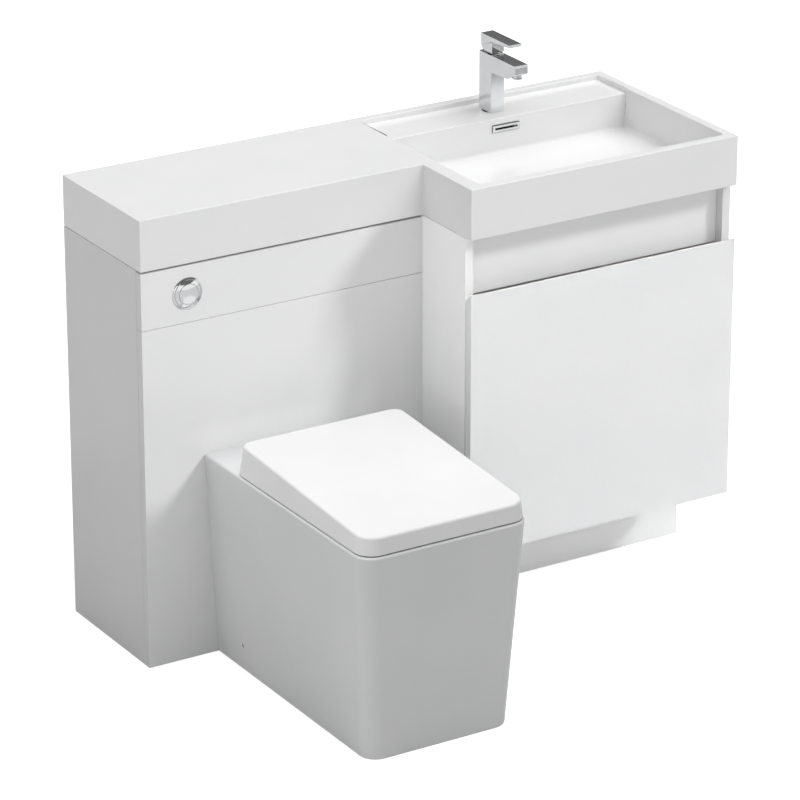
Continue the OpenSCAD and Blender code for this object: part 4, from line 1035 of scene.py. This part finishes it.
# %% Small fittings
for node, radius, slot in (
    ("panel_blocks", 1.0, "grey_plastic"), ("access_clips", 1.0, "grey_plastic"),
    ("plinth_clips", 0.6, "grey_plastic"), ("pan_brackets", 0.8, "white_plastic"),
    ("seat_nuts", 0.8, "white_plastic"), ("overflow_duct", 0.5, "grey_plastic"),
    ("tap_clamp", 0.4, "steel"), ("tap_nut", 0.5, "brass"),
):
    dress(eased_copy(node + "_eased", node, radius), "unit", slot, node)

# %% [markdown]
# ## Light and floor
# The room is white. It gives the object only a little light, but to the camera and in reflections it looks bright.
# The same two masks do this for the room and for the floor.

# %% World
WHITE = (1, 1, 1, 1)


def either(tree, one, other):
    node = new_node(tree, "Math")
    node.operation = "MAXIMUM"
    tree.links.new(one, node.inputs[0])
    tree.links.new(other, node.inputs[1])
    return node.outputs[0]


def ray_masks(tree):
    """One for rays from the camera or through glass, and one for those and mirrored rays."""
    rays = new_node(tree, "LightPath").outputs
    seen = either(tree, rays["Is Camera Ray"], rays["Is Transmission Ray"])
    return seen, either(tree, seen, rays["Is Glossy Ray"])


def split_by_ray(tree, output, mask, first, second):
    chosen = new_node(tree, "MixShader")
    for socket, source in zip(chosen.inputs, (mask, first.outputs[0], second.outputs[0])):
        tree.links.new(source, socket)
    tree.links.new(chosen.outputs[0], new_node(tree, output).inputs["Surface"])


world = bpy.data.worlds.new("studio")
bpy.context.scene.world = world
world.use_nodes = True
tree = world.node_tree
tree.nodes.clear()
seen, mirrored = ray_masks(tree)
split_by_ray(tree, "OutputWorld", mirrored, new_node(tree, "Background", Color=WHITE, Strength=0.148),
             new_node(tree, "Background", Color=WHITE, Strength=1))
print("world", world.name)

# %% [markdown]
# The photograph's key light comes from the upper right. The deep cabinet throws a diagonal shadow across the slim one,
# and the slope and the blur of that shadow give the sun's direction and its width. The cast top takes a softer key.
# A sun shows in polished metal as a burnt-out disc, so reflections leave every lamp out.

# %% Key light, light from above and from the front
PAN = ("china_pan", "lid_shell", "seat_moulding", "hinge_post")


def sun(name, energy, width, towards=None, pieces=(), state="INCLUDE"):
    data = bpy.data.lights.new(name, "SUN")
    data.energy = energy
    data.angle = radians(width)
    lamp = bpy.data.objects.new(name, data)
    bpy.context.scene.collection.objects.link(lamp)
    if towards:
        lamp.rotation_euler = Vector(towards).to_track_quat("Z", "Y").to_euler()
    lamp.visible_glossy = False
    if pieces:
        group = bpy.data.collections.new(name + "_pieces")
        for piece in pieces:
            group.objects.link(bpy.data.objects[piece])
        for entry in group.collection_objects:
            entry.light_linking.link_state = state
        lamp.light_linking.receiver_collection = group
    print(name, "shines with", energy)


sun("key", 1.55, 11, (1.2, -1, 1.27), (*PAN, "basin_casting"), "EXCLUDE")
sun("above", 1.83, 90)
sun("front_fill", 0.42, 80, (0.1, -1, 0.3), PAN, "EXCLUDE")

# %% [markdown]
# In the photograph the pan doesn't share the key: its front is darker than its side, so it is lit from straight above.
# Light linking does the same here. The key and the front light leave the pan's pieces out, and a sun lights only them.
# Others lift single pieces in the corner between the two cabinets, as white cards beside the object would.

# %% Light for the pan, and reflectors for the corner
sun("overhead", 1.12, 25, (-0.38, 0, 1), PAN)
sun("soft_key", 1.25, 50, (1, -1, 1.6), ("basin_casting",))
for energy, towards, piece in (
    (1.8, (-0.65, -1, 0.2), "plinth_board"),
    (1.4, (-1, -0.7, 0.1), "basin_end_left"),
    (0.65, (-1, -0.7, 0.1), "drawer_face"),
    (0.45, (-0.65, -1, 0.2), "grip_board"),
    (0.3, (-1, -0.2, 0.35), "basin_casting"),
):
    sun("reflector", energy, 60, towards, (piece,))

# %% [markdown]
# The floor glows where the camera sees it, which makes it white, and it keeps a faint shadow. On the object it only
# casts back the light that falls on it.

# %% Floor
fresh()
bpy.ops.mesh.primitive_plane_add(size=30, location=(0, 0, 0))
floor = bpy.context.object
floor.name = "floor"
ground = bpy.data.materials.new("studio_floor")
ground.use_nodes = True
tree = ground.node_tree
tree.nodes.clear()
seen, mirrored = ray_masks(tree)
strength = new_node(tree, "Math")
strength.operation = "MULTIPLY_ADD"
GLOW_SEEN, GLOW_MIRRORED = 0.77, 0.05
strength.inputs[1].default_value, strength.inputs[2].default_value = GLOW_SEEN - GLOW_MIRRORED, GLOW_MIRRORED
glow = new_node(tree, "Emission", Color=WHITE)
paint = new_node(tree, "BsdfDiffuse", Color=(0.62, 0.62, 0.62, 1))
glowing = new_node(tree, "AddShader")
for source, socket in (
    (seen, strength.inputs[0]), (strength.outputs[0], glow.inputs["Strength"]),
    (paint.outputs[0], glowing.inputs[0]), (glow.outputs[0], glowing.inputs[1]),
):
    tree.links.new(source, socket)
split_by_ray(tree, "OutputMaterial", mirrored, new_node(tree, "BsdfDiffuse", Color=(0.64, 0.64, 0.64, 1)), glowing)
floor.data.materials.append(ground)
bpy.context.scene.view_settings.view_transform = "Standard"
print("floor is stage:", floor.name)

# %% [markdown]
# Chrome shows only what is round it, so among white walls it looks like white paint. Photographers hang dark cloth
# out of the picture. Here it is a wide band round the room and a disc over it that nothing but a reflection sees.

# %% Dark cloth for reflections
cloth = bpy.data.materials.new("dark_cloth")
cloth.use_nodes = True
tree = cloth.node_tree
tree.nodes.clear()
tree.links.new(new_node(tree, "Emission", Color=WHITE, Strength=0.16).outputs[0],
               new_node(tree, "OutputMaterial").inputs["Surface"])
fresh()
bpy.ops.mesh.primitive_cylinder_add(vertices=96, radius=5, depth=3.4, end_fill_type="NOTHING", location=(0, 0, 3.6))
band = bpy.context.object
band.name = "dark_band"
fresh()
bpy.ops.mesh.primitive_circle_add(vertices=96, radius=2.6, fill_type="NGON", location=(0, 0, 5.3))
ceiling = bpy.context.object
ceiling.name = "dark_ceiling"
for hanging in (band, ceiling):
    hanging.data.materials.append(cloth)
    hanging.visible_camera = hanging.visible_diffuse = hanging.visible_shadow = False
    hanging.visible_transmission = hanging.visible_volume_scatter = False
print("stage:", band.name, ceiling.name)

# %% A last update of the scene
bpy.context.view_layer.update()
